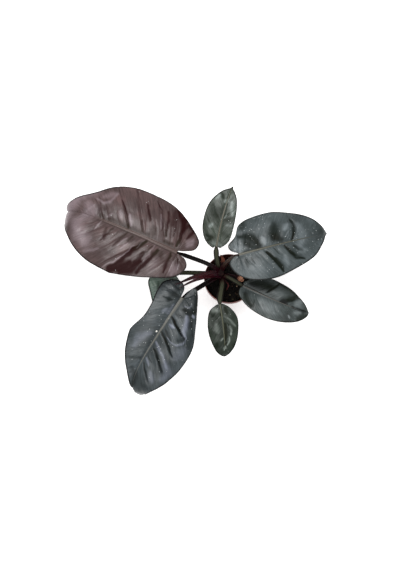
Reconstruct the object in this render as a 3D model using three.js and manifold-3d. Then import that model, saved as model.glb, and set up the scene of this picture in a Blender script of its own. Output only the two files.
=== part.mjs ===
// A black cardinal philodendron in its nursery pot: seven leaves on channelled petioles round a short
// stem, the forked red sheath of the newest leaf, dry sheaths, soil and pot. Millimetres, +Z up, with
// the origin at the middle of the pot's flat base.
import * as THREE from 'three';
import { mergeVertices } from 'three/addons/utils/BufferGeometryUtils.js';
import Module from 'manifold-3d';

const wasm = await Module();
wasm.setup();

// Pot: a tapered, moulded 12 cm pot with a stepped lip and drain holes round its floor
const POT_HEIGHT = 105;
const POT_RIM_RADIUS = 60;
const POT_BASE_RADIUS = 43;
const POT_WALL = 1.6;
const POT_FLOOR = 2.4;
const POT_SIDES = 48;
const LIP_HEIGHT = 15;
const LIP_STEP = 1.8;
const EDGE_ROUND = 0.8;
const DRAIN_HOLES = 6;
const DRAIN_RADIUS = 4;
const DRAIN_CIRCLE = 30;
const DRAIN_SIDES = 16;

// Clearance between pieces that touch
const GAP = 0.3;

// Soil: a low mound round the stem with lumps and crumbs on it; the two pairs of waves are in
// radians for each mm across and along
const SOIL_EDGE_HEIGHT = 81;
const SOIL_MOUND = 6;
const SOIL_MOUND_SPREAD = 32;
const SOIL_BUMP = 1.4;
const SOIL_LUMPS = [0.21, 0.19];
const SOIL_CRUMBS = [0.43, 0.37];
const SOIL_SHOULDER = 6;
const SOIL_RINGS = 7;

// Stem: short, swollen at its leaf scars, off the middle of the pot
const STEM_X = -22;
const STEM_Y = 11;
const STEM_RADIUS = 9;
const STEM_FOOT = 66;
const STEM_TOP = 127;
const STEM_DOME = 3;
const STEM_DOME_SHARE = 0.75;
const STEM_SIDES = 20;
const NODE_RINGS = 6;
const NODE_SWELL = 0.9;

// Blades: one skin with a keel under its midrib. The midrib's line is followed from behind the
// junction, under the basal lobes, to just past the tip. Shares are of the blade's length.
const BLADE_THICKNESS = 0.9;
const KEEL_DEPTH = 3.6;
const KEEL_FLANK = 4;
const MIDRIB_HALF = 3;
const LINE_START = -60;
const LINE_STEP = 1;
const LINE_END_SHARE = 1.02;
const DROOP_FROM = -0.3;
const CURL_FROM = 0.82;
const HOOK_FROM = 0.7;
const SWAY_FROM = 0.6;
const OUTLINE_STEPS = 400;

// Veins: the basal lobes' veins all spring from the junction, the others one after another from the
// midrib, closer together near its base, and each sweeps forward on its way out to the margin
const LOBE_SHARE = 0.3;
const VEIN_CROWDING = 1.3;
const VEIN_SWEEP = 0.35;
const ROWS_A_VEIN = 3;

// Petioles: ten-sided, flatter above than below, with a channel along the top
const PETIOLE_SIDES = 10;
const PETIOLE_STEPS = 12;
const PETIOLE_TOP_SHARE = 0.7;
const CHANNEL_DEPTH = 0.3;
const CHANNEL_HALF = 0.6;
const NECK_SHARE = 0.7;

// Leaves, in mm and degrees. The midrib starts at `junction` and runs the way of `heading`, which
// `bend` turns along its length and `hook` near its tip. `pitch` lifts it, `droop` lets it sag and
// `curl` turns its tip down; `roll` leans the blade to one side. `fold` raises both halves like a
// book's and `camber` bows them down. The margin rises and falls by `wave`, `waves` times, and
// `quilt` is how far the skin stands up between veins. `left` and `right` are the flat outlines as
// seen from the petiole, as distance along the midrib and out from it, and `tip` is where they meet
// if that is off the midrib's line. The petiole leaves the stem on the bearing `side`, at `height`
// and `inset` into its skin. It starts out leaning by `lean` for the share `rise` of its reach, and
// arrives along the midrib for the share `arrive`. `half` and `depth` are its half width and half
// depth at the foot and at the neck.
const LEAVES = {
  north_west: {
    junction: [-120, 26, 250], length: 279, heading: 157, bend: 0, hook: 28,
    pitch: 14, droop: 30, curl: 70, roll: 4, fold: 10, camber: 0.28, halfWidth: 100,
    wave: 3, waves: 2.6, phase: 0.6, veins: 9, quilt: 2.2, columns: 4,
    left: [
      [-21, 7], [-31, 26], [-14, 55], [40, 80], [102, 98],
      [122, 101], [175, 94], [219, 75], [257, 53], [272, 28],
    ],
    right: [
      [-15, 9], [-34, 22], [-35, 44], [-8, 68], [34, 92],
      [87, 104], [147, 99], [190, 84], [221, 52], [255, 24],
    ],
    petiole: {
      side: 150, inset: 4, height: 124, lean: 0.25, rise: 0.3, arrive: 0.12,
      half: [5, 4.4], depth: [4.4, 3.4],
    },
    color: '#5a4245',
  },
  south_west: {
    junction: [-109, -68, 212], length: 250, heading: -123, bend: 0, hook: 25, tip: [238, 13],
    pitch: 6, droop: 34, curl: 60, roll: -4, fold: 16, camber: 0.3, halfWidth: 68,
    wave: 3, waves: 2.2, phase: 2.2, veins: 8, quilt: 2.2, columns: 4,
    left: [
      [-20, 4], [-35, 12], [-22, 26], [5, 42], [39, 61], [84, 81],
      [137, 82], [186, 71], [224, 52], [252, 31], [250, 18],
    ],
    right: [
      [-22, 9], [-28, 28], [-9, 53], [18, 55], [46, 49], [78, 48],
      [112, 57], [128, 56], [159, 44], [194, 23], [224, -1],
    ],
    petiole: {
      side: 232, inset: 3, height: 110, lean: 0.7, rise: 0.3, arrive: 0.05,
      half: [5.2, 4.4], depth: [4.6, 3.4],
    },
    color: '#3f4547',
  },
  east: {
    junction: [16, 26, 228], length: 216, heading: 14, bend: 3, hook: 5,
    pitch: 8, droop: 30, curl: 30, roll: 0, fold: 6, camber: 0.22, halfWidth: 74,
    wave: 3, waves: 2.4, phase: 1.4, veins: 8, quilt: 2.2, columns: 4,
    left: [
      [-15, 13], [-17, 27], [2, 42], [16, 66], [44, 78],
      [84, 79], [132, 72], [181, 47], [208, 20],
    ],
    right: [[-12, 2], [-25, 15], [-15, 41], [14, 61], [58, 70], [111, 62], [164, 45], [196, 19]],
    petiole: {
      side: 60, inset: 3, height: 118, lean: 0.3, rise: 0.32, arrive: 0.12,
      half: [4.8, 4.4], depth: [4.4, 3.4],
    },
    color: '#42494b',
  },
  south_east: {
    junction: [29, -30, 160], length: 171, heading: -29, bend: 14, hook: 9,
    pitch: 12, droop: 38, curl: 20, roll: -6, fold: 14, camber: 0.2, halfWidth: 45,
    wave: 2, waves: 1.8, phase: 0.4, veins: 6, quilt: 1.4, columns: 3,
    left: [[-2, 9], [17, 28], [50, 43], [90, 42], [123, 33], [154, 17]],
    right: [[-3, 10], [5, 26], [34, 42], [75, 47], [112, 42], [141, 29], [161, 12]],
    petiole: {
      side: 328, inset: 3, height: 107, lean: 0.8, rise: 0.34, arrive: 0.15,
      half: [4.8, 4.2], depth: [4, 3],
    },
    color: '#434a46',
  },
  north: {
    junction: [-32, 60, 172], length: 142, heading: 80, bend: -10, hook: -7,
    pitch: 28, droop: 26, curl: 10, roll: 0, fold: 12, camber: 0.2, halfWidth: 36,
    wave: 1.6, waves: 1.6, phase: 2.6, veins: 6, quilt: 1.2, columns: 3,
    left: [[-3, 10], [12, 29], [38, 40], [74, 41], [101, 35], [126, 18]],
    right: [[0, 11], [18, 26], [48, 30], [86, 28], [117, 20], [134, 9]],
    petiole: {
      side: 108, inset: 3, height: 104, lean: 0.4, rise: 0.4, arrive: 0.25,
      half: [6.2, 5.6], depth: [4.2, 3],
    },
    color: '#464d47',
  },
  south: {
    junction: [-24, -71, 148], length: 127, heading: -80, bend: -8, hook: 0,
    pitch: 4, droop: 44, curl: 20, roll: 0, fold: 10, camber: 0.25, halfWidth: 35,
    wave: 1.6, waves: 1.5, phase: 1.1, veins: 6, quilt: 1.2, columns: 3,
    left: [[0, 7], [13, 23], [36, 35], [68, 33], [97, 24], [117, 11]],
    right: [[0, 9], [13, 27], [44, 35], [76, 33], [107, 22], [122, 9]],
    petiole: {
      side: 292, inset: 3, height: 96, lean: 1, rise: 0.36, arrive: 0.25,
      half: [6, 5.2], depth: [4.2, 3],
    },
    color: '#41493f',
  },
  west: {
    junction: [-134, 1, 156], length: 99, heading: -112, bend: -4, hook: 0,
    pitch: 8, droop: 36, curl: 20, roll: 0, fold: 10, camber: 0.22, halfWidth: 40,
    wave: 1.6, waves: 1.5, phase: 3, veins: 6, quilt: 1.2, columns: 3,
    left: [[2, 10], [17, 29], [42, 36], [70, 26], [90, 11]],
    right: [[0, 14], [14, 37], [38, 44], [64, 27], [86, 10]],
    petiole: {
      side: 184, inset: 3, height: 101, lean: 1.1, rise: 0.3, arrive: 0.05,
      half: [5, 4.4], depth: [4, 3],
    },
    color: '#3f483e',
  },
};

// Cataphyll: the red sheath that held the newest leaf, a gutter that narrows and splits into two
// points. Widths are shares of its widest half; its cup is how far the edges stand up.
const SHEATH_PATH = [[-22, 4, 120], [-40, 1, 138], [-80, -18, 184], [-122, -48, 233]];
const SHEATH_HALF_WIDTH = 9;
const SHEATH_FOOT_SHARE = 0.75;
const SHEATH_FOOT_RUN = 0.15;
const SHEATH_TAPER = 0.42;
const SHEATH_TIP_SPREAD = 5;
const SHEATH_SLOT_SHARE = 0.35;
const SHEATH_CUP = 0.75;
const SHEATH_CUP_LOSS = 0.35;
const SHEATH_WALL = 1;
const SHEATH_SPLIT = 0.6;
const SHEATH_ROWS = 20;
const SHEATH_COLUMNS = 4;

// Dry sheaths: thin papery strips left round the stem, each on a path, `half` wide at the share
// `widest` of its length and twisted by `turn` degrees at its end
const DRY_WALL = 0.8;
const DRY_END_SHARE = 0.3;
const DRY_CUP = 0.35;
const DRY_CRUMPLE = 0.8;
const DRY_CRUMPLES = [5, 2];
const DRY_ROWS = 9;
const DRY_COLUMNS = 4;
const DRY_SHEATHS = {
  dry_sheath_north: {
    path: [[-17, 20.5, 103], [-14, 31, 118], [-14, 43, 128], [-19, 55, 132]],
    half: 8, widest: 0.5, turn: 25,
  },
  dry_sheath_east: {
    path: [[-12.2, 10, 108], [2, 6, 118], [16, 0, 126], [33, -10, 122]],
    half: 7, widest: 0.8, turn: 20,
  },
  dry_sheath_south: {
    path: [[-14, 4, 97], [-7, -8, 106], [-3, -19, 110], [-7, -29, 109]],
    half: 3.2, widest: 0.5, turn: -30,
  },
};

const UP = new THREE.Vector3(0, 0, 1);
const SAME_POINT = 1e-3;
const { clamp, degToRad, lerp } = THREE.MathUtils;

function material(color, roughness) {
  return new THREE.MeshStandardMaterial({ color, roughness, metalness: 0 });
}

// A closed mesh with shared vertices merged, no empty triangles and its faces pointing out
function closed(geometry) {
  const bare = geometry.clone();
  bare.deleteAttribute('normal');
  bare.deleteAttribute('uv');
  const merged = mergeVertices(bare, SAME_POINT);
  const at = merged.attributes.position;
  const old = merged.index.array;
  const kept = [];
  const a = new THREE.Vector3();
  const b = new THREE.Vector3();
  const c = new THREE.Vector3();
  let volume = 0;
  for (let i = 0; i < old.length; i += 3) {
    const [p, q, r] = [old[i], old[i + 1], old[i + 2]];
    if (p === q || q === r || r === p) continue;
    kept.push([p, q, r]);
    a.fromBufferAttribute(at, p);
    b.fromBufferAttribute(at, q);
    c.fromBufferAttribute(at, r);
    volume += a.dot(b.cross(c));
  }
  merged.setIndex(kept.flatMap(([p, q, r]) => (volume > 0 ? [p, q, r] : [p, r, q])));
  return merged;
}

function toSolid(geometry) {
  const mesh = closed(geometry);
  const vertProperties = new Float32Array(mesh.attributes.position.array);
  const triVerts = new Uint32Array(mesh.index.array);
  return new wasm.Manifold(new wasm.Mesh({ numProp: 3, vertProperties, triVerts }));
}

function toGeometry(solid) {
  const mesh = solid.getMesh();
  const geometry = new THREE.BufferGeometry();
  geometry.setAttribute('position', new THREE.BufferAttribute(new Float32Array(mesh.vertProperties), 3));
  geometry.setIndex(Array.from(mesh.triVerts));
  return geometry;
}

function fromTriangles(points) {
  const geometry = new THREE.BufferGeometry();
  const flat = points.flatMap((point) => point.toArray());
  geometry.setAttribute('position', new THREE.Float32BufferAttribute(flat, 3));
  return geometry;
}

// A piece cut back so that it stays clear of the pieces it springs from
function cutClear(geometry, neighbours) {
  return toGeometry(neighbours.reduce((solid, other) => solid.subtract(toSolid(other)), toSolid(geometry)));
}

// A thin solid between two like grids of points; a cell can be left out to split it. Both faces are
// cut into triangles along the same diagonals, so they never cross.
function sheet(upper, lower, hasCell = () => true) {
  const rows = upper.length - 1;
  const columns = upper[0].length - 1;
  const filled = (i, j) => i >= 0 && j >= 0 && i < rows && j < columns && hasCell(i, j);
  const points = [];
  const wall = (i, j, k, l) => {
    points.push(upper[i][j], upper[k][l], lower[i][j], upper[k][l], lower[k][l], lower[i][j]);
  };
  for (let i = 0; i < rows; i += 1) {
    for (let j = 0; j < columns; j += 1) {
      if (!filled(i, j)) continue;
      points.push(upper[i][j], upper[i + 1][j], upper[i + 1][j + 1]);
      points.push(upper[i][j], upper[i + 1][j + 1], upper[i][j + 1]);
      points.push(lower[i][j], lower[i + 1][j + 1], lower[i + 1][j]);
      points.push(lower[i][j], lower[i][j + 1], lower[i + 1][j + 1]);
      if (!filled(i - 1, j)) wall(i, j, i, j + 1);
      if (!filled(i + 1, j)) wall(i + 1, j + 1, i + 1, j);
      if (!filled(i, j - 1)) wall(i + 1, j, i, j);
      if (!filled(i, j + 1)) wall(i, j + 1, i + 1, j + 1);
    }
  }
  return fromTriangles(points);
}

// A solid through rings of points, closed at both ends
function loft(rings) {
  const sides = rings[0].length;
  const points = [];
  for (let i = 0; i + 1 < rings.length; i += 1) {
    for (let k = 0; k < sides; k += 1) {
      const next = (k + 1) % sides;
      points.push(rings[i][k], rings[i][next], rings[i + 1][next]);
      points.push(rings[i][k], rings[i + 1][next], rings[i + 1][k]);
    }
  }
  const cap = (ring, forward) => {
    const middle = ring.reduce((sum, point) => sum.add(point), new THREE.Vector3()).divideScalar(sides);
    for (let k = 0; k < sides; k += 1) {
      const next = (k + 1) % sides;
      points.push(middle, ring[forward ? next : k], ring[forward ? k : next]);
    }
  };
  cap(rings[0], true);
  cap(rings[rings.length - 1], false);
  return fromTriangles(points);
}

// A profile of radius and height turned round the vertical axis
function turned(profile, sides) {
  const geometry = new THREE.LatheGeometry(profile.map(([r, z]) => new THREE.Vector2(r, z)), sides);
  return geometry.rotateX(Math.PI / 2);
}

// Pot
const LIP_FOOT = POT_HEIGHT - LIP_HEIGHT;

function potOuterRadius(z) {
  return lerp(POT_BASE_RADIUS, POT_RIM_RADIUS - LIP_STEP, z / LIP_FOOT);
}

function pot() {
  const body = turned([
    [0, 0],
    [POT_BASE_RADIUS - EDGE_ROUND, 0],
    [POT_BASE_RADIUS, EDGE_ROUND],
    [potOuterRadius(LIP_FOOT), LIP_FOOT],
    [POT_RIM_RADIUS - EDGE_ROUND, LIP_FOOT + LIP_STEP / 2],
    [POT_RIM_RADIUS, LIP_FOOT + LIP_STEP],
    [POT_RIM_RADIUS, POT_HEIGHT - EDGE_ROUND],
    [POT_RIM_RADIUS - EDGE_ROUND, POT_HEIGHT],
    [POT_RIM_RADIUS - POT_WALL, POT_HEIGHT],
    [POT_RIM_RADIUS - POT_WALL - EDGE_ROUND, POT_HEIGHT - EDGE_ROUND],
    [potOuterRadius(LIP_FOOT) - POT_WALL, LIP_FOOT],
    [potOuterRadius(POT_FLOOR) - POT_WALL, POT_FLOOR],
    [0, POT_FLOOR],
  ], POT_SIDES);
  let solid = toSolid(body);
  for (let k = 0; k < DRAIN_HOLES; k += 1) {
    const angle = (2 * Math.PI * k) / DRAIN_HOLES;
    const drill = new THREE.CylinderGeometry(DRAIN_RADIUS, DRAIN_RADIUS, 4 * POT_FLOOR, DRAIN_SIDES);
    drill.rotateX(Math.PI / 2);
    drill.translate(DRAIN_CIRCLE * Math.cos(angle), DRAIN_CIRCLE * Math.sin(angle), 0);
    solid = solid.subtract(toSolid(drill));
  }
  return toGeometry(solid);
}

// Stem: swollen at each leaf scar and rounded at its tip; `extra` makes the room left round it
function stem(extra = 0) {
  const profile = [[0, STEM_FOOT - extra]];
  const steps = NODE_RINGS * 2;
  for (let k = 0; k <= steps; k += 1) {
    const z = lerp(STEM_FOOT, STEM_TOP - STEM_DOME, k / steps) - (k === 0 ? extra : 0);
    const radius = k === steps ? STEM_DOME_SHARE * STEM_RADIUS : STEM_RADIUS + (k % 2) * NODE_SWELL;
    profile.push([radius + extra, z]);
  }
  profile.push([0, STEM_TOP + extra]);
  return turned(profile, STEM_SIDES).translate(STEM_X, STEM_Y, 0);
}

// Soil: fills the pot, uneven on top, with a plain hole that the stem stands in. The mound's middle
// is half way from the pot's to the stem.
function soilTop(x, y) {
  const fromMiddle = Math.hypot(x - STEM_X / 2, y - STEM_Y / 2);
  const mound = SOIL_MOUND * Math.exp(-((fromMiddle / SOIL_MOUND_SPREAD) ** 2));
  const lumps = Math.sin(SOIL_LUMPS[0] * x + 1) * Math.cos(SOIL_LUMPS[1] * y);
  const crumbs = Math.sin(SOIL_CRUMBS[0] * x - SOIL_CRUMBS[1] * y) / 2;
  return SOIL_EDGE_HEIGHT + mound + SOIL_BUMP * (lumps + crumbs);
}

function soil() {
  const radiusAt = (z) => potOuterRadius(z) - POT_WALL - GAP;
  const low = POT_FLOOR + GAP;
  const shoulder = SOIL_EDGE_HEIGHT - SOIL_SHOULDER;
  const profile = [[0, low], [radiusAt(low), low], [radiusAt(shoulder), shoulder]];
  const edge = radiusAt(SOIL_EDGE_HEIGHT - SOIL_SHOULDER / 2);
  for (let k = SOIL_RINGS; k >= 0; k -= 1) profile.push([(edge * k) / SOIL_RINGS, SOIL_EDGE_HEIGHT]);
  const body = turned(profile, POT_SIDES);
  const at = body.attributes.position;
  for (let i = 0; i < at.count; i += 1) {
    if (at.getZ(i) > shoulder + 1) at.setZ(i, soilTop(at.getX(i), at.getY(i)));
  }
  return cutClear(body, [stem(GAP)]);
}

// Blade: the curved line of its midrib, with the skin either side of it. `side` is 1 for the left
// half and -1 for the right, `s` runs from vein to vein and `t` from the midrib to the margin.
class Blade {
  constructor(leaf) {
    this.leaf = leaf;
    [this.tipX, this.tipY] = leaf.tip ?? [leaf.length, 0];
    this.line = [];
    const run = new THREE.Vector3();
    for (let x = LINE_START; x <= leaf.length * LINE_END_SHARE; x += LINE_STEP) {
      const frame = this.directions(x);
      if (this.line.length) {
        const last = this.line[this.line.length - 1];
        run.addScaledVector(last.along.clone().add(frame.along), LINE_STEP / 2);
      }
      this.line.push({ ...frame, point: run.clone() });
    }
    const start = this.line[-LINE_START / LINE_STEP].point;
    const shift = new THREE.Vector3(...leaf.junction).sub(start);
    for (const entry of this.line) entry.point.add(shift);
    this.outlines = {
      1: this.outline(leaf.left, this.tipY),
      '-1': this.outline(leaf.right, -this.tipY),
    };
  }

  directions(x) {
    const { leaf } = this;
    const share = x / leaf.length;
    const curl = clamp((share - CURL_FROM) / (1 - CURL_FROM), 0, 1) ** 2;
    const hook = clamp((share - HOOK_FROM) / (1 - HOOK_FROM), 0, 1) ** 2;
    const pitch = degToRad(leaf.pitch - leaf.droop * clamp(share, DROOP_FROM, 1) - leaf.curl * curl);
    const heading = degToRad(leaf.heading + leaf.bend * clamp(share, 0, 1) + leaf.hook * hook);
    const roll = degToRad(leaf.roll);
    const flat = Math.cos(pitch);
    const along = new THREE.Vector3(flat * Math.cos(heading), flat * Math.sin(heading), Math.sin(pitch));
    const level = new THREE.Vector3(-Math.sin(heading), Math.cos(heading), 0);
    const above = along.clone().cross(level);
    const out = level.clone().multiplyScalar(Math.cos(roll)).addScaledVector(above, Math.sin(roll));
    const up = above.multiplyScalar(Math.cos(roll)).addScaledVector(level, -Math.sin(roll));
    return { along, out, up };
  }

  outline(points, tipY) {
    const ends = [[0, MIDRIB_HALF], ...points, [this.tipX, tipY]];
    const curve = new THREE.SplineCurve(ends.map(([x, y]) => new THREE.Vector2(x, y)));
    curve.arcLengthDivisions = OUTLINE_STEPS;
    return curve;
  }

  frame(x) {
    const last = this.line.length - 1;
    const place = clamp((x - LINE_START) / LINE_STEP, 0, last);
    const k = Math.min(Math.floor(place), last - 1);
    const mix = (name) => this.line[k][name].clone().lerp(this.line[k + 1][name], place - k);
    return { point: mix('point'), along: mix('along'), out: mix('out'), up: mix('up') };
  }

  // Flat place of s and t; `away` is the distance from the midrib where that strays to one side
  flat(side, s, t) {
    const edge = this.outlines[side].getPointAt(s);
    const share = clamp((s - LOBE_SHARE) / (1 - LOBE_SHARE), 0, 1);
    const footX = this.tipX * share ** VEIN_CROWDING;
    const footY = side * this.sway(footX) + this.midribHalf(footX);
    const x = lerp(footX, edge.x, lerp(t, t * t, VEIN_SWEEP));
    const y = lerp(footY, edge.y, t);
    return { x, y, away: y - side * this.sway(x) };
  }

  // How far the midrib strays to the left on its way to a tip that is off its line
  sway(x) {
    return this.tipY * clamp((x / this.tipX - SWAY_FROM) / (1 - SWAY_FROM), 0, 1) ** 2;
  }

  midribHalf(x) {
    return MIDRIB_HALF * (1 - clamp(x / this.tipX, -1, 1));
  }

  keel(x) {
    return KEEL_DEPTH * (1 - clamp(x / this.tipX, 0, 1));
  }

  relief(side, x, away, s, t) {
    const { leaf } = this;
    const share = away / leaf.halfWidth;
    const fold = Math.tan(degToRad(leaf.fold)) * away;
    const bow = leaf.camber * away * share;
    const turns = (leaf.waves * x) / leaf.length;
    const wave = leaf.wave * Math.sin(2 * Math.PI * turns + leaf.phase * side) * share * share;
    const quilt = leaf.quilt * Math.abs(Math.sin(Math.PI * leaf.veins * s)) * 4 * t * (1 - t);
    return fold - bow + wave + quilt;
  }

  // A point of the upper face and the one under it, where the keel's flank thins out sideways
  pair(side, s, t) {
    const { x, y, away } = this.flat(side, s, t);
    const { point, out, up } = this.frame(x);
    const top = point.addScaledVector(out, side * y).addScaledVector(up, this.relief(side, x, away, s, t));
    const beside = Math.hypot(Math.min(x, 0), away - this.midribHalf(x));
    const flank = (this.keel(x) / 2) * Math.max(0, 1 - beside / KEEL_FLANK);
    return [top, top.clone().addScaledVector(up, -BLADE_THICKNESS - flank)];
  }

  ridge(s) {
    const { x } = this.flat(1, s, 0);
    const { point, out, up } = this.frame(x);
    const fold = Math.tan(degToRad(this.leaf.fold)) * this.midribHalf(x);
    const top = point.addScaledVector(out, this.sway(x)).addScaledVector(up, fold);
    return [top, top.clone().addScaledVector(up, -BLADE_THICKNESS - this.keel(x))];
  }

  // Rows run from margin to margin across the midrib
  solid() {
    const rows = this.leaf.veins * ROWS_A_VEIN;
    const { columns } = this.leaf;
    const upper = [];
    const lower = [];
    for (let i = 0; i <= rows; i += 1) {
      const s = i / rows;
      const pairs = [];
      for (let j = columns; j >= 0; j -= 1) pairs.push(this.pair(1, s, j / columns));
      pairs.push(this.ridge(s));
      for (let j = 0; j <= columns; j += 1) pairs.push(this.pair(-1, s, j / columns));
      upper.push(pairs.map(([top]) => top));
      lower.push(pairs.map(([, under]) => under));
    }
    return sheet(upper, lower);
  }
}

// Petiole: rises from the stem and turns into the midrib's blunt end
function petiolePoint(half, depth, k) {
  const angle = (2 * Math.PI * k) / PETIOLE_SIDES;
  const x = half * Math.cos(angle);
  const y = depth * Math.sin(angle);
  if (y <= 0) return [x, y];
  const channel = CHANNEL_DEPTH * depth * Math.max(0, 1 - Math.abs(x) / (CHANNEL_HALF * half));
  return [x, PETIOLE_TOP_SHARE * y - channel];
}

function petiolePath(leaf, blade) {
  const spec = leaf.petiole;
  const bearing = degToRad(spec.side);
  const outward = new THREE.Vector3(Math.cos(bearing), Math.sin(bearing), 0);
  const foot = new THREE.Vector3(STEM_X, STEM_Y, spec.height);
  foot.addScaledVector(outward, STEM_RADIUS - spec.inset);
  const { point, along, up } = blade.frame(0);
  const tip = point.addScaledVector(up, -(KEEL_DEPTH + BLADE_THICKNESS) / 2).addScaledVector(along, -GAP);
  const reach = tip.distanceTo(foot);
  const lift = outward.multiplyScalar(spec.lean).add(UP).normalize();
  const first = foot.clone().addScaledVector(lift, spec.rise * reach);
  const last = tip.clone().addScaledVector(along, -spec.arrive * reach);
  return new THREE.CubicBezierCurve3(foot, first, last, tip);
}

function petiole(leaf, blade, extra = 0) {
  const path = petiolePath(leaf, blade);
  const { half, depth } = leaf.petiole;
  const plan = path.v3.clone().sub(path.v0).setZ(0).normalize();
  const across = new THREE.Vector3().crossVectors(UP, plan);
  const rings = [];
  for (let i = 0; i <= PETIOLE_STEPS; i += 1) {
    const u = i / PETIOLE_STEPS;
    const middle = path.getPointAt(u);
    const along = path.getTangentAt(u);
    const out = across.clone().addScaledVector(along, -across.dot(along)).normalize();
    const up = along.clone().cross(out);
    const neck = i === PETIOLE_STEPS ? NECK_SHARE : 1;
    const halfHere = lerp(half[0], half[1], u) * neck + extra;
    const depthHere = lerp(depth[0], depth[1], u) * neck + extra;
    const ring = [];
    for (let k = 0; k < PETIOLE_SIDES; k += 1) {
      const [x, y] = petiolePoint(halfHere, depthHere, k);
      ring.push(middle.clone().addScaledVector(out, x).addScaledVector(up, y));
    }
    rings.push(ring);
  }
  return loft(rings);
}

// A strip of skin along a curve: crossing(u, j) gives each point's place across it and above it
function strip(points, rows, columns, wall, turnAt, crossing, hasCell) {
  const path = new THREE.CatmullRomCurve3(points.map((p) => new THREE.Vector3(...p)), false, 'centripetal');
  const upper = [];
  const lower = [];
  for (let i = 0; i <= rows; i += 1) {
    const u = i / rows;
    const middle = path.getPointAt(u);
    const along = path.getTangentAt(u);
    const out = new THREE.Vector3().crossVectors(UP, along).normalize();
    out.applyAxisAngle(along, degToRad(turnAt * u));
    const up = along.clone().cross(out);
    const tops = [];
    for (let j = -columns; j <= columns; j += 1) {
      const [x, y] = crossing(u, j);
      tops.push(middle.clone().addScaledVector(out, x).addScaledVector(up, y));
    }
    upper.push(tops);
    lower.push(tops.map((top) => top.clone().addScaledVector(up, -wall)));
  }
  return sheet(upper, lower, hasCell);
}

// Cataphyll: past the split, its two middle columns of cells are left out
function cataphyll() {
  const crossing = (u, j) => {
    const fork = Math.max(0, (u - SHEATH_SPLIT) / (1 - SHEATH_SPLIT));
    const flare = lerp(SHEATH_FOOT_SHARE, 1, Math.min(1, u / SHEATH_FOOT_RUN));
    const wide = SHEATH_HALF_WIDTH * flare * (1 - SHEATH_TAPER * u);
    const outer = lerp(wide, SHEATH_TIP_SPREAD, fork ** 2);
    const inner = SHEATH_TIP_SPREAD * Math.sqrt(fork) * lerp(SHEATH_SLOT_SHARE, 1, fork ** 2);
    const beyondSlot = Math.max(0, (Math.abs(j) - 1) / (SHEATH_COLUMNS - 1));
    const reach = fork > 0 ? lerp(inner, outer, beyondSlot) : (outer * Math.abs(j)) / SHEATH_COLUMNS;
    const cup = (SHEATH_CUP - SHEATH_CUP_LOSS * u) / SHEATH_HALF_WIDTH;
    return [Math.sign(j) * reach, cup * reach * reach];
  };
  const firstForked = Math.round(SHEATH_SPLIT * SHEATH_ROWS);
  const hasCell = (i, j) => i < firstForked || Math.abs(j - SHEATH_COLUMNS + 0.5) > 1;
  return strip(SHEATH_PATH, SHEATH_ROWS, SHEATH_COLUMNS, SHEATH_WALL, 0, crossing, hasCell);
}

// Dry sheath: a narrow crumpled strip that widens and then tapers to a ragged point
function drySheath({ path, half, widest, turn }) {
  const power = Math.log(0.5) / Math.log(widest);
  const crossing = (u, j) => {
    const side = (2 * j) / DRY_COLUMNS;
    const width = half * lerp(DRY_END_SHARE, 1, Math.sin(Math.PI * u ** power));
    const crumple = DRY_CRUMPLE * Math.sin(DRY_CRUMPLES[0] * u + DRY_CRUMPLES[1] * side);
    return [side * width, DRY_CUP * width * side * side + crumple];
  };
  return strip(path, DRY_ROWS, DRY_COLUMNS / 2, DRY_WALL, turn, crossing);
}

const plant = new THREE.Group();

function add(name, geometry, finish) {
  const mesh = new THREE.Mesh(closed(geometry), finish);
  mesh.name = name;
  mesh.geometry.computeVertexNormals();
  plant.add(mesh);
}

add('pot', pot(), material('#8a3a28', 0.5));
add('soil', soil(), material('#15120f', 0.95));
add('stem', stem(), material('#2b2320', 0.6));
const keepOut = [stem(GAP)];
for (const [name, leaf] of Object.entries(LEAVES)) {
  const blade = new Blade(leaf);
  add(`blade_${name}`, blade.solid(), material(leaf.color, 0.4));
  add(`petiole_${name}`, cutClear(petiole(leaf, blade), [stem(GAP)]), material('#33241f', 0.45));
  keepOut.push(petiole(leaf, blade, GAP));
}
add('cataphyll', cutClear(cataphyll(), keepOut), material('#4a141c', 0.35));
for (const [name, dry] of Object.entries(DRY_SHEATHS)) {
  add(name, cutClear(drySheath(dry), keepOut), material('#b4735a', 0.8));
}

export default plant;
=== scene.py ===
import math

import bmesh
import bpy
import numpy as np
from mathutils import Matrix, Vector


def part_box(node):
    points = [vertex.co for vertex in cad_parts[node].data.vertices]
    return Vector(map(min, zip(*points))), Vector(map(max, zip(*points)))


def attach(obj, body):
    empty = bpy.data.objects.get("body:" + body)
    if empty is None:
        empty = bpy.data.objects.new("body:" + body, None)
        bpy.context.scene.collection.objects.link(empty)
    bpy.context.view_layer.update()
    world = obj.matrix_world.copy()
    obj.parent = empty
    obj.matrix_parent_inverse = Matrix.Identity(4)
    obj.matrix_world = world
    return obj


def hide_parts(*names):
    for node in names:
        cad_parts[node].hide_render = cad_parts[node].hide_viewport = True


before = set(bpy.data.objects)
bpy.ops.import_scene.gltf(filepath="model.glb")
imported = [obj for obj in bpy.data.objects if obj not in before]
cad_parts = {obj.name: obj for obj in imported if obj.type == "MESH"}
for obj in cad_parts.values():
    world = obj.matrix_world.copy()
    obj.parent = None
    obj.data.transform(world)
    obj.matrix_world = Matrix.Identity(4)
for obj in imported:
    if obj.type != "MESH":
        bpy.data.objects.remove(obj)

scene = bpy.context.scene
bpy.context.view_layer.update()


# The pot is an injection-moulded nursery pot of thin terracotta-red plastic, with a deep lip to grip,
# a smooth tapered wall and drain holes through its flat floor. It is a little dusty and stained by the mix,
# and its inner wall is darkened with soil stains and painted shade.
MM = 0.001
POT_WALL = 1.6
POT_FLOOR = 2.4
POT_BASE_SHARE = 43 / 60
LIP_HEIGHT = 15
LIP_STEP = 1.8
LIP_BEAD = 0.8
FOOT_ROUND = 1.6
POLE_RADIUS = 0.4
MOULD_RIPPLE = 0.12
DUST_HEIGHT = 50
POT_SIDES = 128
WALL_RINGS = 24
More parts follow.
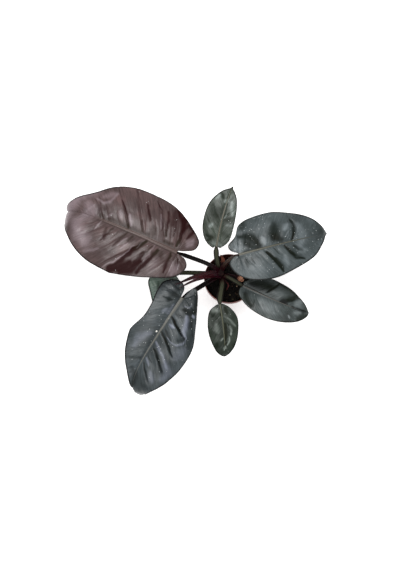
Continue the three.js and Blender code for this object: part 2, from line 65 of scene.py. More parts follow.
DRAIN_HOLES = 6
DRAIN_RADIUS = 4
DRAIN_CIRCLE = 30
DRAIN_SIDES = 32
DRILL_LENGTH = 20
POT_RED = "#561f15"
POT_WORN = "#74362a"
POT_DUST = "#6d5a4c"
POT_SOIL_AND_SHADE = "#1c0d0a"


class Wire:
    """A socket of a node tree. Sums, products and powers of wires add Math nodes; node() adds any other."""

    def __init__(self, tree, socket=None):
        self.tree = tree
        self.socket = socket

    def node(self, kind, settings=None, *places, out=0, **named):
        made = self.tree.nodes.new(kind)
        for key, value in (settings or {}).items():
            if key == "stops":
                self.lay_stops(made.color_ramp, value)
            else:
                setattr(made, key, value)
        sockets = [socket for socket in made.inputs if socket.enabled]
        names = [socket.name.lower().replace(" ", "_") for socket in sockets]
        pairs = list(zip(sockets, places))
        pairs += [(sockets[names.index(key)], value) for key, value in named.items()]
        for socket, value in pairs:
            if isinstance(value, Wire):
                self.tree.links.new(value.socket, socket)
            elif value is not None:
                socket.default_value = value
        outputs = [socket for socket in made.outputs if socket.enabled]
        if isinstance(out, str):
            return Wire(self.tree, next(socket for socket in outputs if socket.name == out))
        return Wire(self.tree, outputs[out])

    @staticmethod
    def lay_stops(ramp, stops):
        while len(ramp.elements) < len(stops):
            ramp.elements.new(0.5)
        for element, (place, colour) in zip(ramp.elements, stops):
            element.position = place
            element.color = colour

    def output(self, name):
        """Another output of the node that this wire comes from."""
        return Wire(self.tree, next(socket for socket in self.socket.node.outputs if socket.name == name))

    def axes(self):
        """The three numbers that a vector or a colour holds."""
        split = self.node("ShaderNodeSeparateXYZ", None, self)
        return [split.output(axis) for axis in "XYZ"]

    def stored(self, *names):
        """A wire for each value that the mesh carries under one of these names."""
        return [self.node("ShaderNodeAttribute", {"attribute_name": name}, out="Fac") for name in names]

    def mark(self, name, value):
        """This geometry with a value stored on each of its points."""
        settings = {"data_type": "FLOAT", "domain": "POINT"}
        return self.node("GeometryNodeStoreNamedAttribute", settings, geometry=self, name=name, value=value)

    def maths(self, operation, *values):
        return self.node("ShaderNodeMath", {"operation": operation}, self, *values)

    def __add__(self, other):
        return self.maths("ADD", other)

    def __mul__(self, other):
        return self.maths("MULTIPLY", other)

    def __sub__(self, other):
        return self.maths("SUBTRACT", other)

    def __rsub__(self, other):
        return self.maths("MULTIPLY", -1) + other

    def __truediv__(self, other):
        return self.maths("DIVIDE", other)

    def __pow__(self, other):
        return self.maths("POWER", other)

    __radd__ = __add__
    __rmul__ = __mul__

    def smooth(self, low, high):
        """0 at `low` and 1 at `high`, with a soft start and end."""
        return self.node("ShaderNodeMapRange", {"interpolation_type": "SMOOTHSTEP"}, self, low, high, 0, 1)

    def colour(self, first, second):
        """`first` where this wire is 0, `second` where it is 1. Each is a wire or a screen colour's code."""
        first, second = (paint(shade) if isinstance(shade, str) else shade for shade in (first, second))
        return self.node("ShaderNodeMix", {"data_type": "RGBA"}, factor=self, a=first, b=second)

    def tones(self, places, codes):
        """Screen colours laid out over the values of this wire."""
        stops = [(place, paint(code)) for place, code in zip(places, codes)]
        return self.node("ShaderNodeValToRGB", {"stops": stops}, self)

    def feed(self, shader, name):
        self.tree.links.new(self.socket, shader.inputs[name])

    def emboss(self, shader):
        """Raises the surface by this many millimetres, in its shading alone."""
        self.node("ShaderNodeBump", None, strength=1.0, distance=MM, height=self).feed(shader, "Normal")


def paint(code):
    """A colour as it looks on a screen, in the linear numbers that a shader takes."""
    shares = [int(code[k:k + 2], 16) / 255 for k in (1, 3, 5)]
    return tuple(((c + 0.055) / 1.055) ** 2.4 if c > 0.04045 else c / 12.92 for c in shares) + (1,)


def start_material(name, roughness, **constants):
    """A new material, a wire with its object coordinates, and its shader."""
    material = bpy.data.materials.new(name)
    material.use_nodes = True
    shader = material.node_tree.nodes["Principled BSDF"]
    shader.inputs["Roughness"].default_value = roughness
    for key, value in constants.items():
        shader.inputs[key.replace("_", " ").title().replace("Ior", "IOR")].default_value = value
    return material, Wire(material.node_tree).node("ShaderNodeTexCoord", out="Object"), shader


def grain(place, scale, detail=3, stretch=None):
    """Noise from 0 to 1 with `scale` lumps to the metre."""
    if stretch:
        place = place.node("ShaderNodeMapping", None, vector=place, scale=stretch)
    return place.node("ShaderNodeTexNoise", None, vector=place, scale=scale, detail=detail)


def make_mesh(name, points, faces, smooth=True):
    """A mesh object at the origin, from points in millimetres."""
    mesh = bpy.data.meshes.new(name)
    mesh.from_pydata((np.asarray(points) * MM).tolist(), [], [list(map(int, face)) for face in faces])
    piece = bpy.data.objects.new(name, mesh)
    scene.collection.objects.link(piece)
    if smooth:
        mesh.shade_smooth()
    else:
        mesh.shade_flat()
    return piece


def ring_faces(rings, sides):
    """Quads between closed rings of points, one after the other."""
    ring, k = [grid.ravel() for grid in np.meshgrid(np.arange(rings - 1), np.arange(sides), indexing="ij")]
    low, high, after = ring * sides, (ring + 1) * sides, (k + 1) % sides
    return np.stack([low + k, low + after, high + after, high + k], -1).tolist()


def capped(name, rings):
    """A closed body through rings of points, with a flat end at the first and the last."""
    count, sides = rings.shape[:2]
    faces = ring_faces(count, sides)
    faces.append(list(range(sides))[::-1])
    faces.append(list(range((count - 1) * sides, count * sides)))
    return make_mesh(name, rings.reshape(-1, 3), faces)


def turned(name, profile, sides):
    """A profile of radii and heights, turned round the vertical axis and closed at both ends."""
    angle = np.linspace(0, 2 * math.pi, sides, endpoint=False)
    radius, height = np.array(profile, float).T
    rings = np.stack([np.outer(radius, np.cos(angle)), np.outer(radius, np.sin(angle)),
                      np.repeat(height[:, None], sides, 1)], -1)
    return capped(name, rings)


def arc(middle, radius, start, end, steps):
    """Points of an arc in a profile, from one angle in degrees to another."""
    angles = np.radians(np.linspace(start, end, steps))
    return [(middle[0] + radius * math.cos(a), middle[1] + radius * math.sin(a)) for a in angles]


def start_modifier(name, **sizes):
    """A Geometry Nodes tree with named inputs: its wire, and a wire for each input."""
    tree = bpy.data.node_groups.new(name, "GeometryNodeTree")
    kinds = {float: "NodeSocketFloat", int: "NodeSocketInt", bpy.types.Object: "NodeSocketObject",
             bpy.types.Material: "NodeSocketMaterial", Vector: "NodeSocketVector"}
    tree.interface.new_socket("Geometry", in_out="INPUT", socket_type="NodeSocketGeometry")
    for key, kind in sizes.items():
        tree.interface.new_socket(key, in_out="INPUT", socket_type=kinds[kind])
    tree.interface.new_socket("Geometry", in_out="OUTPUT", socket_type="NodeSocketGeometry")
    entry = tree.nodes.new("NodeGroupInput")
    return Wire(tree), {key: Wire(tree, entry.outputs[key]) for key in ["Geometry", *sizes]}


def end_modifier(tree, shape, skin):
    """Realizes what the tree made, gives it its material and sends it out."""
    real = tree.node("GeometryNodeRealizeInstances", None, shape)
    done = tree.node("GeometryNodeSetMaterial", None, geometry=real, material=skin)
    way_out = tree.tree.nodes.new("NodeGroupOutput")
    tree.tree.links.new(done.socket, way_out.inputs[0])
    return tree.tree


def grow(name, source, tree, **sizes):
    """The plain mesh object that a Geometry Nodes tree makes of `source`, which is then removed."""
    modifier = source.modifiers.new(tree.name, "NODES")
    modifier.node_group = tree
    for item in tree.interface.items_tree:
        if item.in_out == "INPUT" and item.name in sizes:
            modifier[item.identifier] = sizes[item.name]
    depsgraph = bpy.context.evaluated_depsgraph_get()
    mesh = bpy.data.meshes.new_from_object(source.evaluated_get(depsgraph), preserve_all_data_layers=True,
                                           depsgraph=depsgraph)
    mesh.name = name
    source.modifiers.remove(modifier)
    bpy.data.objects.remove(source)
    piece = bpy.data.objects.new(name, mesh)
    scene.collection.objects.link(piece)
    return piece


def belongs(piece, slot, *nodes):
    """Puts a finished piece on the plant's one body, in place of its solids."""
    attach(piece, "root")
    if nodes:
        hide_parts(*nodes)


rim_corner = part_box("pot")[1] / MM
RIM_RADIUS, POT_HEIGHT = rim_corner.x, rim_corner.z
BASE_RADIUS = RIM_RADIUS * POT_BASE_SHARE
LIP_FOOT = POT_HEIGHT - LIP_HEIGHT


def pot_radius(height):
    """Outer radius of the tapered wall under the lip."""
    return BASE_RADIUS + (RIM_RADIUS - LIP_STEP - BASE_RADIUS) * height / LIP_FOOT


def pot_plastic():
    """Clouded red plastic: dusty at its foot, scuffed all over, and darkened inside by soil stains and
    painted shade.
    """
    material, place, shader = start_material("pot_plastic", 0.42)
    x, y, height = (axis / MM for axis in place.axes())
    scuffs = grain(place, 260, 6, (1, 1, 0.35)).smooth(0.56, 0.72)
    clouds = grain(place, 24, 4)
    red = clouds.smooth(0.3, 0.75).colour(POT_RED, POT_WORN)
    dusty = (1 - height.smooth(0, DUST_HEIGHT)) * clouds.smooth(0.4, 0.7) * 0.5 + scuffs * 0.25
    # Painted shade and soil stain: the inner wall is darkened nearly to black, and soil blotches lie all
    # over.
    mid_lip = height.smooth(LIP_FOOT, LIP_FOOT + 2) * (RIM_RADIUS - POT_WALL * 0.9)
    mid_wall = (pot_radius(height) - POT_WALL / 2).maths("MAXIMUM", mid_lip)
    below_edge = 1 - height.smooth(POT_HEIGHT - 1.6, POT_HEIGHT - 0.4)
    inside = (mid_wall - (x * x + y * y).maths("SQRT")).smooth(-0.2, 0.2) * below_edge
    soil_and_shade = (inside * 0.8 + clouds.smooth(0.5, 0.66) * 0.2).maths("MINIMUM", 1)
    soil_and_shade.colour(dusty.colour(red, POT_DUST), POT_SOIL_AND_SHADE).feed(shader, "Base Color")
    (0.36 + scuffs * 0.25 + dusty * 0.3).feed(shader, "Roughness")
    (grain(place, 900, 2) * 0.04 + scuffs * 0.05).emboss(shader)
    return material


def drain_holes():
    """Drills a ring of equal holes up through a floor."""
    tree, size = start_modifier("drain holes", Holes=int, Circle=float, Radius=float, Skin=bpy.types.Material)
    ring = tree.node("GeometryNodeMeshCircle", None, vertices=size["Holes"], radius=size["Circle"])
    drill = tree.node("GeometryNodeMeshCylinder", None, vertices=DRAIN_SIDES, radius=size["Radius"],
                      depth=DRILL_LENGTH * MM)
    drills = tree.node("GeometryNodeInstanceOnPoints", None, points=ring, instance=drill)
    cut = tree.node("GeometryNodeMeshBoolean", {"operation": "DIFFERENCE", "solver": "EXACT"},
                    size["Geometry"], tree.node("GeometryNodeRealizeInstances", None, drills))
    return end_modifier(tree, cut, size["Skin"])


def pot_profile():
    wall_heights = np.linspace(2, LIP_FOOT, WALL_RINGS)
    outside = [(pot_radius(z) + MOULD_RIPPLE * math.sin(z * 2.1), z) for z in wall_heights]
    inside = [(pot_radius(z) - POT_WALL, z) for z in wall_heights[::-1]]
    rim_middle = (RIM_RADIUS - POT_WALL / 2, POT_HEIGHT - LIP_BEAD)
    return [
        (POLE_RADIUS, 0), (DRAIN_CIRCLE / 2, 0), (DRAIN_CIRCLE + 8, 0),
        *arc((BASE_RADIUS - FOOT_ROUND, FOOT_ROUND), FOOT_ROUND, -90, -5, 5),
        *outside,
        (RIM_RADIUS - 0.7, LIP_FOOT + 0.5), (RIM_RADIUS - 0.1, LIP_FOOT + 1.1), (RIM_RADIUS, LIP_FOOT + 2),
        (RIM_RADIUS - 0.1, LIP_FOOT + 6), (RIM_RADIUS - 0.1, POT_HEIGHT - 3),
        *arc(rim_middle, POT_WALL / 2, 0, 180, 9),
        (RIM_RADIUS - POT_WALL, LIP_FOOT + 5), (RIM_RADIUS - POT_WALL - 0.6, LIP_FOOT + 2),
        *inside,
        *arc((pot_radius(4) - POT_WALL - FOOT_ROUND, POT_FLOOR + FOOT_ROUND), FOOT_ROUND, 0, -90, 4),
        (DRAIN_CIRCLE, POT_FLOOR), (POLE_RADIUS, POT_FLOOR),
    ]


pot = grow("nursery_pot", turned("pot_shell", pot_profile(), POT_SIDES), drain_holes(), Holes=DRAIN_HOLES,
           Circle=DRAIN_CIRCLE * MM, Radius=DRAIN_RADIUS * MM, Skin=pot_plastic())
belongs(pot, "pot_plastic", "pot")


# The potting mix fills the pot to a low mound round the crown. It is dark, damp and crumbly, with chips of
# bark, a few pale grains and bits of wood in it, pressed down by hand when the plant was potted.
SOIL_EDGE_HEIGHT = 81
SOIL_MOUND = 6
SOIL_MOUND_SPREAD = 32
SOIL_BUMP = 1.4
SOIL_LONG_WAVES = (0.21, 0.19)
SOIL_SHORT_WAVES = (0.43, 0.37)
SOIL_DROP = 5
SOIL_SHOULDER = 0.93
SOIL_CLEAR = 0.3
SOIL_FOOT_CLEAR = 0.4
SOIL_RINGS = 90
SOIL_SIDES = 200
SOIL_CLODS = ((9, 1.1, 11), (4.2, 0.8, 12), (1.9, 0.45, 13))
STEM_X = -22
STEM_Y = 11
STREWN_CHIPS = {
    "bark_chips": ((2.6, 1.5, 0.7), 34000.0, ("#0b0806", "#1e1610", "#3a2b1f")),
    "soil_crumbs": ((1.0, 0.8, 0.7), 150000.0, ("#040303", "#0d0a08", "#1a1410")),
    "pale_grains": ((0.8, 0.7, 0.6), 2600.0, ("#39342b", "#504a40", "#7c7464")),
}
CHIP_SIZES = (0.45, 1.5)
CHIP_ROUGHNESS = 0.28
CHIP_SUNK = 0.4
FULL_TURN = 6.283
LATTICE = 128
LONE_CHIPS = {
    "pale_chip": ((19.7, -15.4), (2.0, 1.5, 1.0), "#b79f80"),
    "wood_chip": ((2.6, -36.4), (2.6, 1.5, 1.0), "#48432f"),
    "wood_scrap": ((9.7, -46.2), (3.0, 1.4, 1.0), "#3b392b"),
}


def lumps(x, y, size, seed):
    """Smooth random heights from -1 to 1, about one lump to each `size`, the same each run."""
    lattice = np.random.default_rng(seed).uniform(-1, 1, (LATTICE, LATTICE))
    i, u = np.divmod(np.asarray(x) / size, 1)
    k, v = np.divmod(np.asarray(y) / size, 1)
    i, k = i.astype(int), k.astype(int)
    u, v = u * u * (3 - 2 * u), v * v * (3 - 2 * v)

    def corner(a, b):
        return lattice[(i + a) % LATTICE, (k + b) % LATTICE]

    near = corner(0, 0) * (1 - u) + corner(1, 0) * u
    far = corner(0, 1) * (1 - u) + corner(1, 1) * u
    return near * (1 - v) + far * v


def soil_top(x, y):
    """Height of the mix, as its solid has it, with finer clods on it."""
    mound = SOIL_MOUND * np.exp(-(np.hypot(x - STEM_X / 2, y - STEM_Y / 2) / SOIL_MOUND_SPREAD) ** 2)
    (long_x, long_y), (short_x, short_y) = SOIL_LONG_WAVES, SOIL_SHORT_WAVES
    waves = np.sin(long_x * x + 1) * np.cos(long_y * y) + np.sin(short_x * x - short_y * y) / 2
    clods = sum(height * lumps(x + 200, y + 200, size, seed) for size, height, seed in SOIL_CLODS)
    return SOIL_EDGE_HEIGHT + mound + SOIL_BUMP * waves + clods


def soil_body():
    """The mix as one closed body: its foot on the pot's floor, its wall a little clear of the pot's."""
    angle = np.linspace(0, 2 * math.pi, SOIL_SIDES, endpoint=False)
    share = np.linspace(1, 0.01, SOIL_RINGS)[:, None]
    edge = pot_radius(SOIL_EDGE_HEIGHT - SOIL_DROP) - POT_WALL - SOIL_CLEAR
    x, y = edge * share * np.cos(angle), edge * share * np.sin(angle)
    z = soil_top(x, y) - SOIL_DROP * np.clip((share - SOIL_SHOULDER) / (1 - SOIL_SHOULDER), 0, 1) ** 2
    foot_height = POT_FLOOR + SOIL_FOOT_CLEAR
    foot = pot_radius(foot_height) - POT_WALL - SOIL_FOOT_CLEAR
    bottom = np.stack([foot * np.cos(angle), foot * np.sin(angle), np.full(SOIL_SIDES, foot_height)], -1)
    rings = np.concatenate([bottom[None], np.stack([x, y, z], -1)])
    return capped("potting_mix", rings)


def soil_material(name, tints, coarse, strewn=False):
    """Crumbly matt stuff. Each strewn chip carries a `tint` that sets its own shade."""
    material, place, shader = start_material(name, 0.92, specular_ior_level=0.15)
    speckle = grain(place, coarse, 6)
    if strewn:
        speckle = speckle * 0.4 + place.stored("tint")[0] * 0.6
    speckle.tones((0.3, 0.55, 0.8), tints).feed(shader, "Base Color")
    (grain(place, 1500, 4) * 0.8).emboss(shader)
    return material


def scatter_tree():
    """Strews rough chips over what faces up, each turned and sized at random."""
    tree, size = start_modifier("scatter", Chip=bpy.types.Object, Crowd=float, Seed=int,
                                Skin=bpy.types.Material)
    facing = tree.node("GeometryNodeInputNormal").axes()[2]
    spots = tree.node("GeometryNodeDistributePointsOnFaces", None, mesh=size["Geometry"],
                      selection=facing.maths("GREATER_THAN", 0.5), density=size["Crowd"], seed=size["Seed"])
    turn = tree.node("FunctionNodeRandomValue", {"data_type": "FLOAT_VECTOR"}, (0, 0, 0), (FULL_TURN,) * 3,
                     seed=size["Seed"])
    scale = tree.node("FunctionNodeRandomValue", None, *CHIP_SIZES, seed=size["Seed"] + 3)
    chip = tree.node("GeometryNodeObjectInfo", None, object=size["Chip"], out="Geometry")
    chips = tree.node("GeometryNodeInstanceOnPoints", None, points=spots, instance=chip, rotation=turn,
                      scale=scale)
    tint = tree.node("FunctionNodeRandomValue", None, 0, 1, seed=size["Seed"] + 7)
    chips = tree.node("GeometryNodeStoreNamedAttribute", {"data_type": "FLOAT", "domain": "INSTANCE"},
                      geometry=chips, name="tint", value=tint)
    return end_modifier(tree, chips, size["Skin"])


def rough_chip(name, size, middle=(0, 0, 0), seed=0, fineness=1):
    """A small broken bit: a ball of a few faces, flattened and knocked about."""
    shell = bmesh.new()
    bmesh.ops.create_icosphere(shell, subdivisions=fineness, radius=1)
    points = np.array([vert.co for vert in shell.verts])
    faces = [[vert.index for vert in face.verts] for face in shell.faces]
    shell.free()
    points *= 1 + CHIP_ROUGHNESS * np.random.default_rng(seed).uniform(-1, 1, points.shape)
    return make_mesh(name, points * size + middle, faces, smooth=False)


def copy_of(piece, name):
    """A second piece with a mesh of its own."""
    twin = piece.copy()
    twin.data = piece.data.copy()
    twin.name = name
    scene.collection.objects.link(twin)
    return twin


soil = soil_body()
soil.data.materials.append(soil_material("potting_mix", ("#040303", "#0b0907", "#17120e"), 160))
scatter = scatter_tree()
for seed, (name, (chip_size, crowd, tints)) in enumerate(STREWN_CHIPS.items(), 1):
    model = rough_chip(name + "_model", chip_size, seed=seed)
    strewn = grow(name, copy_of(soil, "strewn"), scatter, Chip=model, Crowd=crowd, Seed=seed,
                  Skin=soil_material(name, tints, 500, True))
    bpy.data.objects.remove(model)
    belongs(strewn, "potting_mix")
for seed, (name, ((x, y), chip_size, tint)) in enumerate(LONE_CHIPS.items(), 20):
    height = float(soil_top(np.array(x), np.array(y))) + chip_size[2] * CHIP_SUNK
    piece = rough_chip(name, chip_size, (x, y, height), seed, 2)
    piece.data.materials.append(soil_material(name, ("#2b2119", tint, tint), 900))
    belongs(piece, "potting_mix")
belongs(soil, "potting_mix", "soil")


# The stem is the short woody crown that every leaf springs from. It is ringed where old leaves fell off,
# with dark brown corky skin between the rings, and ends in a blunt bud.
STEM_RADIUS = 9
STEM_FOOT = 66
STEM_TOP = 127
STEM_DOME = 3
STEM_SWELLS = 6
STEM_SWELL = 0.9
STEM_SCAR = 0.3
STEM_SCAR_WIDTH = 0.08
STEM_ROUGHNESS = 0.5
STEM_DOME_RINGS = 12
STEM_RINGS = 150
STEM_SIDES = 72


def stem_body():
    """A post that swells between its leaf scars, under a low dome."""
    share = np.linspace(0, 1, STEM_RINGS)
    height = STEM_FOOT + (STEM_TOP - STEM_DOME - STEM_FOOT) * share
    swell = np.abs(np.sin(math.pi * STEM_SWELLS * share)) ** 0.6
    scars = STEM_SCAR * np.exp(-((share * STEM_SWELLS) % 1 / STEM_SCAR_WIDTH) ** 2)
    radius = STEM_RADIUS + STEM_SWELL * swell - scars
    dome = np.linspace(0, 1, STEM_DOME_RINGS + 2)[1:-1]
    height = np.r_[height, STEM_TOP - STEM_DOME + STEM_DOME * np.sin(dome * math.pi / 2)]
    radius = np.r_[radius, radius[-1] * np.cos(dome * math.pi / 2)]
    angle = np.linspace(0, 2 * math.pi, STEM_SIDES, endpoint=False)
    rough = STEM_ROUGHNESS * lumps(np.outer(height, np.ones(STEM_SIDES)), 40 * np.cos(angle) + 90, 5, 31)
    rings = radius[:, None] + rough * np.minimum(radius[:, None] / STEM_RADIUS, 1)
    x, y = STEM_X + rings * np.cos(angle), STEM_Y + rings * np.sin(angle)
    return capped("crown", np.stack([x, y, np.repeat(height[:, None], STEM_SIDES, 1)], -1))


def stem_skin():
    """Dark brown cork."""
    material, place, shader = start_material("stem_skin", 0.8, specular_ior_level=0.05)
    cork = grain(place, 120, 5, (1, 1, 2.4))
    cork.tones((0.3, 0.52, 0.75), ("#0c0606", "#1a0f0f", "#2e1c1a")).feed(shader, "Base Color")
    (grain(place, 500, 4, (1, 1, 3)) * 0.7).emboss(shader)
    return material


stem = stem_body()
stem.data.materials.append(stem_skin())
belongs(stem, "stem_skin", "stem")


# The seven leaf blades are the plant's show: leathery glossy skin, wine red when new and almost black when
# grown, on a pale midrib that stands out as a keel below. Each grew as one piece on the end of its petiole,
# puckered between its side veins and creased where it unrolled.
MIDRIB_HALF = 3
BLADE_THICKNESS = 0.9
KEEL_DEPTH = 3.6
KEEL_FLANK = 4
LINE_START = -60
LINE_REACH = 1.16
CURL_FROM = 0.82
HOOK_FROM = 0.7
SWAY_FROM = 0.6
LOBE_SHARE = 0.3
VEIN_CROWDING = 1.3
VEIN_SWEEP = 0.35
ROWS_A_VEIN = 38
COLUMN_WIDTH = 2.1
RIB_COLUMNS = 5
MARGIN_THICKNESS = 0.45
EDGE_ROUND = 0.3
RIB_FURROW = 0.6
SKIN_WAVES = ((42, 0.9), (17, 0.4), (7, 0.14))
MARGIN_WAVE = 0.8
QUILT = 0.4
PUCKER = 0.9
PUCKER_MIDDLE = 0.1
PUCKER_SPREAD = 0.3
VEIN_SINK = 0.3
VEIN_WIDTH = 0.07
CREASE_REACH = 16
STROKE_DRIFT = 1.5
STROKE_SPREAD = 1.1
STROKE_HARDNESS = 2.2
SWELL = 0.7
DOUBLED = 0.0005
NO_MARGIN = 50
MARKS = ("vein", "out", "to_margin", "fading", "across", "dark", "bare", "wax", "under")
